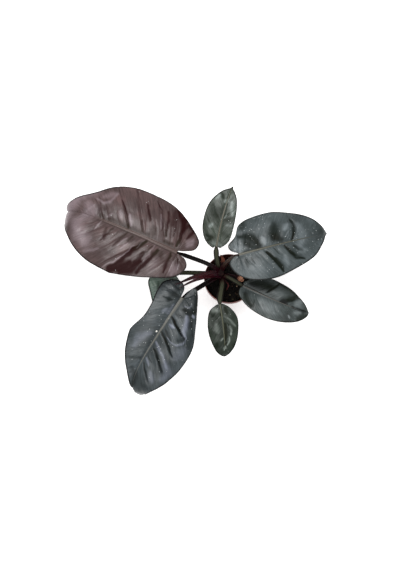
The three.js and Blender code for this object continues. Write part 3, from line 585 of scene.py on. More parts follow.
# Lengths are along the midrib and out from it, and angles in degrees. `left` and `right` are the outlines of
# the flat leaf. `rib` is the pale band's half width, how it narrows and where it fades. A crease gives its
# lift, depth, width and line, and a stroke its tone, width and line. A tone below 0 paints shade and takes
# the gloss away; a tone above 0 paints a grey sheen and adds gloss.
LEAVES = {
    "north_west": {
        "junction": (-120, 26, 250), "length": 279, "heading": 157, "bend": 0, "hook": 28,
        "pitch": 14, "droop": 30, "curl": 62, "roll": 4, "fold": 10, "camber": 0.28, "half_width": 100,
        "wave": 3, "waves": 2.6, "phase": 0.6, "veins": 9, "quilt": 2.2, "tip": (268, 0),
        "skin": "new_leaf",
        "left": [(-21, 7), (-31, 26), (-14, 55), (40, 80), (102, 98),
                 (122, 101), (175, 94), (219, 75), (252, 52), (267, 37), (277, 21), (280, 9)],
        "right": [(-15, 9), (-34, 22), (-35, 44), (-8, 68), (34, 92),
                  (87, 104), (147, 99), (190, 84), (221, 52), (257, 26), (278, 11)],
        "rib": (4.6, 0.5, 0.6), "pucker": 1.0,
        "creases": [
            (-2.6, 1.4, 2.0, (60, 4), (93, 40), (116, 66), (133, 86), (160, 118)),
            (0.8, 1.2, 1.6, (214, -56), (206, -44), (190, -18), (174, 2)),
            (1.0, 1.5, 1.7, (190, -98), (165, -68), (144, -43), (116, -4)),
            (1.1, 1.6, 1.8, (146, -112), (124, -72), (109, -47), (80, -4)),
            (0.5, 1.3, 2.6, (108, -84), (79, -37)),
            (1.1, 1.6, 1.8, (96, -116), (78, -82), (65, -61), (38, -20)),
            (0.6, 1.2, 1.8, (-8, 12), (-15, 38)),
        ],
        "strokes": [
            (-0.5, 2.4, (146, 8), (154, 30), (161, 45)), (-0.31, 2, (134, 11), (140, 34)),
            (-0.5, 3, (114, 4), (122, 23), (130, 46)), (-0.5, 2.4, (100, 8), (107, 24)),
            (-1, 5.2, (70, 7), (86, 36), (103, 70), (121, 92)), (-1, 8, (82, 64), (101, 85), (118, 97)),
            (-1, 8, (64, 55), (76, 78), (94, 90)), (-0.56, 2, (54, 12), (60, 30), (70, 62)),
            (-0.95, 4.8, (39, 14), (46, 36), (54, 60), (62, 78)), (-0.6, 4, (64, 32), (75, 60)),
            (0.28, 1.6, (50, 6), (53, 31), (60, 53)), (0.24, 1.4, (74, 6), (78, 18), (82, 30)),
            (0.48, 1.4, (89, 28), (103, 59), (122, 83), (133, 96)),
            (0.15, 6.4, (32, 31), (34, 46), (41, 64)), (-0.75, 4, (11, 8), (11, 30), (10, 54)),
            (-0.43, 1.6, (-8, 14), (-16, 32)), (0.25, 4, (0, 25), (-2, 46)),
            (-0.37, 1.6, (213, -38), (196, -22), (183, -4)), (-0.5, 4, (195, -20), (194, -8)),
            (-0.53, 1.8, (158, -58), (139, -40), (126, -22), (118, -4)),
            (-0.25, 1.6, (138, -94), (116, -70), (102, -49)), (-0.43, 2.2, (98, -33), (88, -8)),
            (-0.53, 2.6, (102, -74), (92, -57), (79, -39)),
            (-0.53, 1.6, (86, -92), (68, -74), (54, -48), (48, -28)), (0.32, 2, (66, -64), (51, -30)),
            (-0.7, 3.6, (52, -76), (44, -53), (36, -22)), (-0.5, 1.8, (30, -71), (23, -48), (22, -28)),
            (-0.95, 4.8, (14, -86), (7, -56), (6, -31), (6, -12)),
            (-0.8, 4, (-2, -72), (-15, -58), (-8, -36)), (-0.4, 6, (68, -31), (62, -10)),
            (-0.6, 5, (34, -10), (16, -10)), (0.5, 8, (-22, -38), (-16, -22)),
            (0.48, 3.2, (210, -40), (191, -36), (178, -44), (173, -69)), (0.35, 8, (198, -50), (177, -68)),
            (0.4, 3.2, (218, -6), (209, -24)), (0.4, 2, (224, 2), (210, 6)),
            (0.32, 3.2, (172, -8), (163, -20)), (0.4, 5, (148, -34), (142, -20)),
            (0.5, 4, (127, -34), (114, -11)), (0.48, 1.4, (177, 3), (184, 27)),
            (0.36, 2, (110, 18), (122, 41)), (0.4, 2, (104, 28), (113, 46)),
            (0.35, 4, (157, 64), (186, 80)), (-0.2, 5, (260, -2), (234, -2)),
            (0.25, 8, (224, 39), (194, 58), (183, 49)), (-0.55, 8, (40, -84), (32, -52)),
            (-0.7, 8, (12, -84), (6, -50)), (-0.4, 9, (30, 16), (32, 40)),
            (0.7, 16, (262, 26), (264, -4), (248, -30)), (0.5, 14, (222, 14), (208, -8), (222, -22)),
            (0.5, 18, (234, 24), (214, 46), (190, 62)), (-0.8, 6, (34, -88), (20, -76), (10, -64)),
            (-0.6, 4, (-2, -70), (0, -60)), (0.5, 14, (236, -40), (214, -74)),
            (0.4, 8, (-12, 30), (-8, 52)), (-0.5, 5, (160, 14), (154, 40)),
            (-0.4, 6, (186, -8), (150, -8), (110, -6), (70, -8)),
        ],
    },
    "south_west": {
        "junction": (-109, -68, 212), "length": 250, "heading": -123, "bend": 0, "hook": 25,
        "pitch": 6, "droop": 34, "curl": 44, "roll": -4, "fold": 16, "camber": 0.3, "half_width": 68,
        "wave": 3, "waves": 2.2, "phase": 2.2, "veins": 8, "quilt": 2.2, "tip": (233, 10),
        "skin": "dark_leaf",
        "left": [(-20, 4), (-35, 12), (-22, 26), (5, 42), (39, 61), (84, 81), (137, 82), (174, 73),
                 (202, 61), (226, 48), (243, 40), (257, 32), (260, 25), (254, 18), (241, 14)],
        "right": [(-22, 9), (-28, 28), (-9, 53), (18, 55), (46, 49), (78, 48),
                  (112, 57), (128, 56), (159, 44), (182, 30), (198, 17), (214, 5), (227, -3.5)],
        "rib": (3.4, 1.3, 1.2), "pucker": 0.6,
        "creases": [
            (-2.2, 2.2, 2.0, (48, 3), (60, 24), (70, 44), (76, 60)),
            (0.8, -1.2, 2.0, (68, 55), (78, 58), (88, 55), (97, 45), (96, 32), (88, 12)),
            (1.0, 1.6, 1.8, (126, 5), (144, 32), (168, 60)),
            (0.8, 1.2, 1.7, (163, 5), (187, 26), (200, 38)), (1.0, 1.5, 1.8, (84, 1), (103, 29), (124, 56)),
        ],
        "strokes": [
            (-0.72, 2.7, (48, 5), (58, 22), (68, 42), (74, 56)),
            (-0.64, 2.5, (88, 3), (98, 20), (108, 36), (121, 52)), (-0.5, 3.3, (80, 8), (88, 20), (96, 34)),
            (-0.64, 2.7, (128, 10), (134, 22), (145, 34)), (-0.5, 3.7, (145, 34), (162, 50)),
            (-0.48, 1.4, (148, 7), (155, 22)), (-0.48, 2.1, (166, 6), (178, 19), (192, 32)),
            (-0.6, 6.2, (22, 18), (20, 33), (8, 42)), (-0.5, 3.1, (-26, 16), (-6, 32), (12, 41)),
            (-0.4, 5.2, (38, 9), (37, 26)), (-0.4, 2.9, (28, 41), (44, 54), (61, 68)),
            (-0.4, 2.9, (38, 40), (49, 48)), (-0.4, 6.2, (84, 46), (79, 54)),
            (-0.4, 5.2, (4, -36), (4, -8)), (-0.5, 3.1, (23, -36), (18, -16)),
            (-0.5, 4.1, (-22, -26), (-12, -30), (-11, -14)), (-0.35, 4.1, (170, -25), (159, -6)),
            (-0.35, 6.2, (188, -9), (200, 7), (222, 8)), (-0.3, 6.2, (210, 27), (213, 40)),
            (0.8, 4.6, (65, 11), (66, 22)), (0.8, 4.6, (30, 32), (44, 39), (62, 45), (69, 52)),
            (0.8, 2.7, (20, 41), (24, 46)),
            (0.7, 1.1, (70, 56), (78, 58), (88, 55), (97, 45), (96, 32), (90, 20)),
            (0.6, 3.1, (112, 6), (123, 20), (131, 36), (148, 56)), (0.5, 2.5, (154, 6), (164, 20)),
            (0.35, 8.3, (144, 49), (158, 64), (176, 60)), (0.35, 6.2, (174, 30), (192, 44)),
            (0.4, 5.2, (50, -17), (40, -14)), (0.35, 8.3, (103, -16), (122, -30), (143, -31)),
            (0.25, 12.4, (95, 64), (118, 61)), (0.3, 4.1, (24, -6), (46, -7)),
            (0.4, 1.7, (14, 16), (12, 25), (2, 27)), (-0.4, 14, (-18, 22), (16, 34), (46, 46)),
            (-0.35, 12, (60, 62), (84, 72)), (-0.35, 9, (-6, -20), (18, -22)),
        ],
    },
    "east": {
        "junction": (16, 26, 228), "length": 216, "heading": 14, "bend": 3, "hook": 5,
        "pitch": 8, "droop": 30, "curl": 30, "roll": 0, "fold": 6, "camber": 0.22, "half_width": 74,
        "wave": 3, "waves": 2.4, "phase": 1.4, "veins": 8, "quilt": 2.2, "tip": (222, 0), "skin": "dark_leaf",
        "left": [(-15, 13), (-17, 27), (2, 42), (16, 66), (44, 78), (84, 79),
                 (132, 72), (181, 47), (206, 24), (216, 9), (219, 3)],
        "right": [(-12, 2), (-25, 15), (-15, 41), (14, 61), (58, 70), (111, 62), (164, 45), (194, 20),
                  (208, 6)],
        "rib": (2.7, 1.2, 0.7), "pucker": 0.45,
        "creases": [
            (1.2, 1.4, 2.6, (132, 62), (141, 44), (140, 24), (126, 3)),
            (1.0, 1.6, 2.2, (56, -3), (74, -32), (88, -62)),
            (1.0, 1.4, 2.2, (98, -3), (112, -24), (138, -46)),
        ],
        "strokes": [
            (-0.7, 9.6, (12, 38), (28, 36), (42, 26), (50, 8)), (-0.6, 7.6, (20, 22), (32, 9), (44, 3)),
            (-0.5, 9.1, (20, 58), (29, 72)), (-0.55, 12.3, (95, 48), (92, 34), (90, 17)),
            (-0.65, 10.4, (82, 24), (92, 14), (100, 10)),
            (-0.8, 4.3, (134, 50), (140, 36), (131, 18), (124, 2)), (-0.5, 2, (112, 10), (124, 24)),
            (-0.9, 4.1, (61, -11), (70, -27), (80, -43), (86, -60)), (-0.7, 5.6, (76, -29), (86, -54)),
            (-0.5, 2, (78, -6), (86, -22)), (-0.8, 3.8, (104, -5), (111, -21), (120, -38), (138, -44)),
            (-0.7, 4.3, (124, -12), (134, -22), (140, -26)), (-0.4, 4.7, (12, -16), (12, -34)),
            (-0.4, 2, (26, -13), (28, -30)), (-0.5, 3.8, (8, 2), (24, 4)),
            (-0.3, 12.3, (186, -6), (201, 8)), (0.6, 6.1, (124, 39), (114, 31)),
            (0.4, 1.4, (108, 13), (121, 24), (114, 9)), (0.15, 16.4, (59, 53), (68, 35)),
            (0.5, 6.1, (60, 23), (64, 10)), (0.4, 8.2, (-2, 18), (4, 7)),
            (0.15, 16.4, (4, -37), (30, -48), (54, -46)), (0.4, 6.1, (97, -30), (99, -48)),
            (0.4, 10.2, (146, 34), (152, 8), (138, -13)), (0.3, 6.1, (130, -28), (148, -27)),
            (-0.35, 14, (88, 40), (86, 18)), (-0.35, 11, (22, 30), (44, 18)),
            (-0.35, 10, (196, 26), (204, 8)), (-0.4, 8, (108, -20), (132, -34)),
        ],
    },
    "south_east": {
        "junction": (29, -30, 160), "length": 171, "heading": -29, "bend": 14, "hook": 9,
        "pitch": 12, "droop": 38, "curl": 20, "roll": -6, "fold": 14, "camber": 0.2, "half_width": 45,
        "wave": 2, "waves": 1.8, "phase": 0.4, "veins": 6, "quilt": 1.4, "skin": "green_leaf",
        "left": [(-2, 9), (17, 28), (50, 43), (90, 42), (123, 33), (154, 17)],
        "right": [(-3, 10), (5, 26), (34, 42), (75, 47), (112, 42), (141, 29), (161, 12)],
        "rib": (1.4, 0.8, 0.7), "pucker": 0.35,
        "creases": [
            (1.0, 1.3, 1.6, (54, 6), (66, 24), (76, 40)), (-1.2, 1.1, 1.6, (100, 1), (116, 12), (136, 28)),
            (0.6, 1.0, 1.6, (120, 1), (142, 0), (164, 2)),
        ],
        "strokes": [
            (-0.7, 13, (16, 14), (39, 20), (58, 24)), (-0.7, 3.5, (58, 11), (68, 26), (74, 36)),
            (-0.7, 5.8, (75, 40), (104, 38), (132, 30)), (-0.8, 7.6, (96, 4), (114, 16), (132, 28)),
            (-0.7, 3.5, (92, 1), (110, 2)), (-0.7, 8.6, (12, -14), (24, -28), (37, -37)),
            (-0.5, 2.1, (38, -21), (41, -35)), (-0.8, 3.2, (123, 0), (142, 0), (161, 1)),
            (-0.6, 8.6, (142, -22), (160, -9)), (-0.4, 2.1, (84, -14), (91, -26)),
            (0.3, 8.6, (74, 16), (88, 18)), (0.5, 8.6, (130, 10), (141, 19)),
            (0.5, 15, (53, -12), (80, -20), (64, -28)), (0.5, 6.4, (132, -11), (144, -6)),
            (1, 1.7, (120, -23), (124, -29)), (0.6, 1.9, (86, -30), (90, -29)),
            (-0.35, 12, (60, 24), (96, 32), (128, 24)), (-0.45, 7, (150, -4), (158, 6)),
        ],
    },
    "north": {
        "junction": (-32, 60, 172), "length": 142, "heading": 80, "bend": -10, "hook": -7,
        "pitch": 28, "droop": 26, "curl": 10, "roll": 0, "fold": 12, "camber": 0.2, "half_width": 36,
        "wave": 1.6, "waves": 1.6, "phase": 2.6, "veins": 6, "quilt": 1.2, "tip": (147, 0),
        "skin": "green_leaf",
        "left": [(-3, 10), (12, 29), (38, 40), (74, 41), (101, 35), (124, 20), (137, 5), (143, 1.6)],
        "right": [(0, 11), (18, 26), (48, 30), (86, 28), (115, 21), (131, 11), (139, 3)],
        "rib": (2.0, 0.6, 1.2), "pucker": 0.4,
        "creases": [
            (0.5, 0.9, 1.6, (30, 8), (48, 24), (60, 38)), (0.5, 0.8, 1.4, (62, -2), (80, -12), (92, -24)),
        ],
        "strokes": [
            (-0.5, 10.8, (89, 30), (75, 24), (68, 15)), (-0.6, 5.4, (120, 17), (112, 9)),
            (-0.7, 6.4, (22, 26), (20, 14), (12, 22)), (-0.5, 6.4, (62, -8), (69, -18)),
            (-0.35, 8.6, (32, -8), (30, -22)), (0.6, 4.3, (106, 26), (115, 20)),
            (0.8, 4.3, (44, 24), (48, 20)), (0.5, 4.3, (104, 2), (110, -1)),
            (0.6, 5.4, (108, -12), (97, -14), (80, -22)), (0.7, 1.5, (68, -4), (76, -8)),
            (0.4, 3.2, (52, -14), (54, -24)), (0.4, 4.3, (7, 9), (6, -10)),
        ],
    },
    "south": {
        "junction": (-24, -71, 148), "length": 127, "heading": -80, "bend": -8, "hook": 0,
        "pitch": 4, "droop": 44, "curl": 20, "roll": 0, "fold": 10, "camber": 0.25, "half_width": 35,
        "wave": 1.6, "waves": 1.5, "phase": 1.1, "veins": 6, "quilt": 1.2, "skin": "green_leaf",
        "left": [(0, 7), (13, 23), (36, 35), (68, 33), (97, 24), (117, 11)],
        "right": [(0, 9), (13, 27), (44, 35), (76, 33), (107, 22), (122, 9)],
        "rib": (1.7, 0.5, 0.7), "pucker": 0.35,
        "creases": [
            (0.5, 0.9, 1.6, (34, 5), (56, 18), (72, 30)),
        ],
        "strokes": [
            (-0.6, 5.5, (10, 10), (24, 12)), (-0.8, 1.3, (8, 0), (27, -2)),
            (-0.7, 3.5, (46, 4), (65, 5), (84, 1)), (-0.5, 6.6, (18, -17), (24, -22)),
            (-0.5, 6.6, (92, -18), (102, -23)), (-0.6, 2.2, (91, 3), (96, 0)),
            (-0.4, 6.6, (92, 24), (102, 23)), (0.4, 6.6, (8, -18), (14, -10)),
            (0.4, 2.6, (34, 13), (42, 19), (54, 27)), (0.5, 2.2, (52, 16), (62, 19), (70, 16)),
            (1, 1.5, (68, 18), (73, 16)), (0.7, 1.8, (77, 13), (86, 10), (96, 5)),
            (1, 3.1, (106, -2), (100, 0)), (0.5, 1.5, (78, -3), (85, -8)), (0.3, 6.6, (46, -16), (63, -14)),
        ],
    },
    "west": {
        "junction": (-134, 1, 156), "length": 99, "heading": -112, "bend": -4, "hook": 0,
        "pitch": 8, "droop": 36, "curl": 20, "roll": 0, "fold": 10, "camber": 0.22, "half_width": 40,
        "wave": 1.6, "waves": 1.5, "phase": 3, "veins": 6, "quilt": 1.2, "skin": "green_leaf",
        "left": [(2, 10), (17, 29), (42, 36), (70, 26), (90, 11)],
        "right": [(0, 14), (14, 37), (38, 44), (64, 27), (86, 10)],
        "rib": (1.5, 0.6, 0.8), "pucker": 0.5,
        "creases": [],
        "strokes": [
            (0.6, 2.1, (38, -40), (48, -28)), (0.6, 2.1, (33, -34), (43, -22)),
            (-0.6, 2.6, (32, -22), (50, -14)), (0.4, 6.4, (18, 7), (14, 18)),
        ],
    },
}
LEAF_DUST = "#c9cccb"
# Each leaf's `near` and `far` are the colours of its painted shade, and its pale grey is a painted sheen that
# stands in for the window's glare.
LEAF_COLOURS = {
    "north_west": {
        "body": ("#30201f", "#40302f", "#55403f"), "near": "#221b12", "far": "#1e0404", "wax": "#9a8a91",
        "rib": "#4b3c38", "margin": "#0f0708", "under": "#5c2429", "specks": 0.04, "gloss": 0.66},
    "south_west": {
        "body": ("#1f2628", "#2b3234", "#3b4246"), "near": "#161611", "far": "#0a0e0b", "wax": "#868b9c",
        "rib": "#575650", "margin": "#090b0b", "under": "#40222a", "specks": 0.2, "gloss": 0.56},
    # Painted light: the east leaf is coloured paler than the south west leaf, to make up for the window's
    # glare, which misses it.
    "east": {
        "body": ("#2a3132", "#363e3f", "#474f51"), "near": "#12140e", "far": "#0d130c", "wax": "#8a9398",
        "rib": "#4c4a3e", "margin": "#0a0c09", "under": "#40222a", "specks": 0.4, "gloss": 0.6},
    "south_east": {
        "body": ("#272c2b", "#383f3e", "#495151"), "near": "#161716", "far": "#11150d", "wax": "#8a9294",
        "rib": "#55514c", "margin": "#101208", "under": "#4a3230", "specks": 0.14, "gloss": 0.6},
    "north": {
        "body": ("#20271f", "#30382f", "#444c43"), "near": "#1c1c13", "far": "#131a10", "wax": "#98a39f",
        "rib": "#565244", "margin": "#11130e", "under": "#4a3230", "specks": 0.14, "gloss": 0.6},
    "south": {
        "body": ("#131b13", "#1d261d", "#2c352b"), "near": "#16170b", "far": "#0d130b", "wax": "#a2aca4",
        "rib": "#4f5040", "margin": "#0d110c", "under": "#4a3230", "specks": 0.06, "gloss": 0.4},
    # Painted light: the west leaf is coloured much paler than the other green leaves, to make up for the
    # shadow that the north west leaf casts on it.
    "west": {
        "body": ("#465849", "#61746a", "#7d8f84"), "near": "#2b3a2e", "far": "#26362a", "wax": "#b3c7b8",
        "rib": "#566050", "margin": "#11160f", "under": "#4a3230", "specks": 0.1, "gloss": 0.6},
}


def face_out(piece):
    """Joins doubled points, drops those that no face uses, and turns the faces outwards."""
    shell = bmesh.new()
    shell.from_mesh(piece.data)
    bmesh.ops.remove_doubles(shell, verts=shell.verts, dist=DOUBLED * MM)
    unused = [vert for vert in shell.verts if not vert.link_faces]
    bmesh.ops.delete(shell, geom=unused, context="VERTS")
    bmesh.ops.recalc_face_normals(shell, faces=shell.faces)
    shell.to_mesh(piece.data)
    shell.free()


def store(piece, names, values):
    """Gives each point of a mesh its numbers, with a column of values for each name."""
    for name, column in zip(names, values.T):
        layer = piece.data.attributes.new(name, "FLOAT", "POINT")
        layer.data.foreach_set("value", column.copy())


def spline(points, steps=400):
    """A function of the share of its length along a smooth flat curve through points."""
    points = np.array(points, float)
    ends = len(points) - 1

    def at(share):
        place = np.asarray(share) * ends
        k = np.minimum(place.astype(int), ends)
        w = (place - k)[..., None]
        before, here = points[np.maximum(k - 1, 0)], points[k]
        after, beyond = points[np.minimum(k + 1, ends)], points[np.minimum(k + 2, ends)]
        out, arrive = (after - before) / 2, (beyond - here) / 2
        cubic = 2 * here - 2 * after + out + arrive
        square = -3 * here + 3 * after - 2 * out - arrive
        return ((cubic * w + square) * w + out) * w + here

    shares = np.linspace(0, 1, steps + 1)
    lengths = np.r_[0, np.cumsum(np.linalg.norm(np.diff(at(shares), axis=0), axis=1))]
    return lambda share: at(np.interp(share, lengths / lengths[-1], shares))


def beside_line(x, y, points):
    """How far flat places are from a drawn line, on which side (1 is left), and their share along it."""
    points = np.array(points, float)
    runs = np.diff(points, axis=0)
    lengths = np.hypot(*runs.T)
    begun = np.r_[0, np.cumsum(lengths)]
    gap, side, share = np.full(x.shape, np.inf), np.zeros(x.shape), np.zeros(x.shape)
    for start, run, length, before in zip(points, runs, lengths, begun):
        along = np.clip(((x - start[0]) * run[0] + (y - start[1]) * run[1]) / length ** 2, 0, 1)
        off_x, off_y = x - start[0] - along * run[0], y - start[1] - along * run[1]
        here = np.hypot(off_x, off_y)
        nearer = here < gap
        gap = np.where(nearer, here, gap)
        side = np.where(nearer, np.sign(run[0] * off_y - run[1] * off_x), side)
        share = np.where(nearer, (before + along * length) / begun[-1], share)
    return gap, side, share


class Blade:
    """The curved line of a leaf's midrib and the skin beside it. `side` is 1 for the left half and -1 for the
    right, `s` runs along the margin from vein to vein, and `t` from the midrib out to the margin."""

    def __init__(self, leaf):
        self.leaf = leaf
        length = leaf["length"]
        self.tip_x, self.tip_y = leaf.get("tip", (length, 0))
        self.line_x = np.arange(LINE_START, length * LINE_REACH, 1.0)
        share = self.line_x / length
        curl = leaf["curl"] * np.clip((share - CURL_FROM) / (1 - CURL_FROM), 0, 1) ** 2
        hook = leaf["hook"] * np.clip((share - HOOK_FROM) / (1 - HOOK_FROM), 0, 1) ** 2
        pitch = np.radians(leaf["pitch"] - leaf["droop"] * np.clip(share, -0.3, 1) - curl)
        heading = np.radians(leaf["heading"] + leaf["bend"] * np.clip(share, 0, 1) + hook)
        roll = math.radians(leaf["roll"])
        self.slope = math.tan(math.radians(leaf["fold"]))
        level_x, level_y = np.cos(pitch) * np.cos(heading), np.cos(pitch) * np.sin(heading)
        self.along = np.stack([level_x, level_y, np.sin(pitch)], -1)
        level = np.stack([-np.sin(heading), np.cos(heading), 0 * heading], -1)
        above = np.cross(self.along, level)
        self.out = level * math.cos(roll) + above * math.sin(roll)
        self.up = above * math.cos(roll) - level * math.sin(roll)
        steps = (self.along[1:] + self.along[:-1]) / 2
        path = np.vstack([[0, 0, 0], np.cumsum(steps, axis=0)])
        self.path = path - path[-LINE_START] + np.array(leaf["junction"])
        self.margin = {1: spline([(0, MIDRIB_HALF), *leaf["left"], (self.tip_x, self.tip_y)]),
                       -1: spline([(0, MIDRIB_HALF), *leaf["right"], (self.tip_x, -self.tip_y)])}

    def at(self, what, x):
        return np.stack([np.interp(x, self.line_x, what[:, k]) for k in range(3)], -1)

    def sway(self, x):
        """How far the midrib swings out to meet a tip that lies off its line."""
        return self.tip_y * np.clip((x / self.tip_x - SWAY_FROM) / (1 - SWAY_FROM), 0, 1) ** 2

    def vein_foot(self, s):
        """Where on the midrib each side vein starts. The lobes' veins all start at its foot."""
        return self.tip_x * np.clip((s - LOBE_SHARE) / (1 - LOBE_SHARE), 0, 1) ** VEIN_CROWDING

    def rib(self, x):
        """Half the midrib's width."""
        return MIDRIB_HALF * (1 - np.clip(x / self.tip_x, -1, 1))

    def pale_band(self, x, away):
        """How far the pale band on the midrib has faded, and how many of its half widths away a place is."""
        half, power, fade = self.leaf["rib"]
        share = np.clip(x / self.tip_x, -0.2, 1)
        fading = np.clip((share - fade) / 0.15, 0, 1) + np.clip(-x / 4, 0, 1)
        return fading, away / (half * np.clip(1 - share, 0.08, 1) ** power)

    def keel(self, x):
        """How deep the midrib's keel is below the blade."""
        return KEEL_DEPTH * (1 - np.clip(x / self.tip_x, 0, 1))

    def raised(self, flat_x, out, height):
        """Where a place on the flat leaf lies in space, `out` to the left of its line and `height` above."""
        return (self.at(self.path, flat_x) + self.at(self.out, flat_x) * out[..., None]
                + self.at(self.up, flat_x) * height[..., None])

    def features(self, x, y, s, t, seed):
        """Fine relief that the skin got as it grew and unrolled: puckers beside the midrib, sunk side veins,
        creases and an uneven surface. Also the painted shade in the puckers' valleys, sunk veins and creases,
        and where the strokes paint shade with less gloss or a grey sheen with more."""
        leaf = self.leaf
        inner = np.clip(t * 6, 0, 1)

        def uneven(size, step):
            return lumps(x + 300, y + 300, size, seed + step)

        relief = sum(height * uneven(size, k) * inner for k, (size, height) in enumerate(SKIN_WAVES))
        relief += MARGIN_WAVE * lumps(x + 300, y * 0.3 + 90, 16, seed + 9) * t ** 4
        vein = s * leaf["veins"] + 0.1 * lumps(s * 30 + 10, t * 4 + 10, 1, seed + 6)
        strong = 0.6 + 0.4 * lumps(2 * vein + 40, t * 0 + 3, 1, seed + 5)
        pucker = np.abs(np.sin(2 * np.pi * vein))
        near = np.exp(-((t - PUCKER_MIDDLE) / PUCKER_SPREAD) ** 2)
        relief += PUCKER * leaf["pucker"] * strong * near * inner * pucker ** 0.7
        # Painted shade: the valleys between the puckers are darkened here, and so below are the sunk veins
        # and the creases.
        dark = 0.5 * leaf["pucker"] * strong * near * inner * (1 - pucker) ** 2
        sunk = np.exp(-(np.abs((vein + 0.5) % 1 - 0.5) / VEIN_WIDTH) ** 2) * inner
        fading = 0.5 + 0.5 * lumps(vein * 2 + 60, t * 3 + 7, 1, seed + 7)
        relief -= VEIN_SINK * sunk * fading
        dark += 0.3 * leaf["pucker"] * sunk * fading
        relief += 0.15 * np.abs(np.sin(4 * np.pi * vein)) * inner
        for lift, deep, wide, *line in leaf["creases"]:
            gap, left, share = beside_line(x, y, line)
            faded = np.sqrt(np.clip(4 * share * (1 - share), 0, 1))
            fold = np.exp(-(gap / wide) ** 2)
            high_side = np.clip(left * np.sign(lift), 0, 1)
            relief += faded * abs(lift) * high_side * (1 - fold) * np.exp(-gap / CREASE_REACH)
            relief -= faded * deep * fold
            # Painted shade along the crease's fold.
            dark += 0.5 * max(deep, 0) * faded * fold
        # The strokes paint light and shade: a tone below 0 paints shade and takes the gloss away, and a tone
        # above 0 paints a grey sheen and adds gloss. `matt` is the share that no shade stroke reaches.
        drift_x, drift_y = x + STROKE_DRIFT * uneven(9, 11), y + STROKE_DRIFT * uneven(9, 12)
        matt, outside_sheen = np.ones(x.shape), np.ones(x.shape)
        for tone, wide, *line in leaf["strokes"]:
            gap, _, share = beside_line(drift_x, drift_y, line)
            reach = STROKE_SPREAD * wide * (0.6 + 0.4 * np.sin(np.pi * share))
            stroke = np.exp(-(gap / reach) ** STROKE_HARDNESS)
            if tone < 0:
                matt *= 1 + tone * stroke
            else:
                outside_sheen *= 1 - tone * stroke
        relief += SWELL * (matt - outside_sheen)
        return relief, np.clip(dark, 0, 1), 1 - matt, 1 - outside_sheen

    def half(self, side, rows, columns, seed):
        """Upper and lower places of one half, from the midrib out, and what its finish goes by."""
        leaf = self.leaf
        s, t = np.meshgrid(np.linspace(0, 1, rows), np.linspace(0, 1, columns), indexing="ij")
        edge = self.margin[side](s)
        foot_x = self.vein_foot(s)
        foot_y = side * self.sway(foot_x) + self.rib(foot_x)
        x = foot_x + (edge[..., 0] - foot_x) * (t + VEIN_SWEEP * (t * t - t))
        y = foot_y + (edge[..., 1] - foot_y) * t
        away = y - side * self.sway(x)
        share = away / leaf["half_width"]
        phase = 2 * np.pi * leaf["waves"] * x / leaf["length"] + leaf["phase"] * side
        height = self.slope * away - leaf["camber"] * away * share
        height += leaf["wave"] * np.sin(phase) * share ** 2
        height += QUILT * leaf["quilt"] * np.abs(np.sin(np.pi * leaf["veins"] * s)) * 4 * t * (1 - t)
        relief, dark, bare, wax = self.features(x, side * y, s, t, seed)
        beside = np.hypot(np.minimum(x, 0), away - self.rib(x))
        furrow = RIB_FURROW * np.exp(-((beside - 0.8) / 1.1) ** 2) * np.clip(1 - foot_x / self.tip_x, 0, 1)
        height += relief - furrow
        flank = self.keel(x) / 2 * np.clip(1 - beside / KEEL_FLANK, 0, 1) ** 1.3
        thick = MARGIN_THICKNESS + flank
        thick += (BLADE_THICKNESS - MARGIN_THICKNESS) * np.clip(1.6 - 1.6 * t, 0, 1)
        to_edge = np.hypot(edge[..., 0] - x, edge[..., 1] - y)
        band = self.pale_band(x, side * away)
        marks = np.stack([s * leaf["veins"], t, to_edge, *band, dark, bare, wax, 0 * x], -1)
        return self.raised(x, side * y, height), self.raised(x, side * y, height - thick), marks

    def mesh(self, name, seed):
        """The whole blade: rings of points round both halves and the rib, closed to a point at each end."""
        rows = self.leaf["veins"] * ROWS_A_VEIN + 1
        columns = round(self.leaf["half_width"] / COLUMN_WIDTH)
        left_top, left_low, left_marks = self.half(1, rows, columns, seed)
        right_top, right_low, right_marks = self.half(-1, rows, columns, seed + 20)
        across = np.linspace(1, -1, RIB_COLUMNS + 2)[1:-1]
        x, u = np.meshgrid(self.vein_foot(np.linspace(0, 1, rows)), across, indexing="ij")
        rib = self.rib(x)
        rise = self.slope * rib + 0.5 * (1 - u ** 2) * rib / MIDRIB_HALF
        drop = BLADE_THICKNESS + self.keel(x) * (1 - u ** 2 / 2)
        rib_top = self.raised(x, self.sway(x) + u * rib, rise)
        rib_low = self.raised(x, self.sway(x) + u * rib, rise - drop)
        none = 0 * x
        rib_marks = np.stack([none, none, none + NO_MARGIN, *self.pale_band(x, u * rib), *[none] * 4], -1)

        def rim(top, low):
            middle = (top[:, -1] + low[:, -1]) / 2
            outward = top[:, -1] - top[:, -2]
            size = np.linalg.norm(outward, axis=1, keepdims=True)
            return (middle + EDGE_ROUND * outward / np.maximum(size, 1e-6))[:, None]

        points = np.concatenate([
            left_top[:, ::-1], rib_top, right_top, rim(right_top, right_low),
            right_low[:, ::-1], rib_low[:, ::-1], left_low, rim(left_top, left_low)], 1)
        under = np.array([key == "under" for key in MARKS], float)
        marks = np.concatenate([
            left_marks[:, ::-1], rib_marks, right_marks, right_marks[:, -1:], right_marks[:, ::-1] + under,
            rib_marks[:, ::-1] + under, left_marks + under, left_marks[:, -1:]], 1)
        around = points.shape[1]
        faces = ring_faces(rows - 2, around)
        foot, last = (rows - 2) * around, (rows - 3) * around
        for k in range(around):
            after = (k + 1) % around
            faces += [(after, k, foot), (last + k, last + after, foot + 1)]
        ends = [0, -1]
        piece = make_mesh(name, np.concatenate([points[1:-1].reshape(-1, 3), points[ends].mean(1)]), faces)
        store(piece, MARKS, np.concatenate([marks[1:-1].reshape(-1, len(MARKS)), marks[ends].mean(1)]))
        face_out(piece)
        return piece


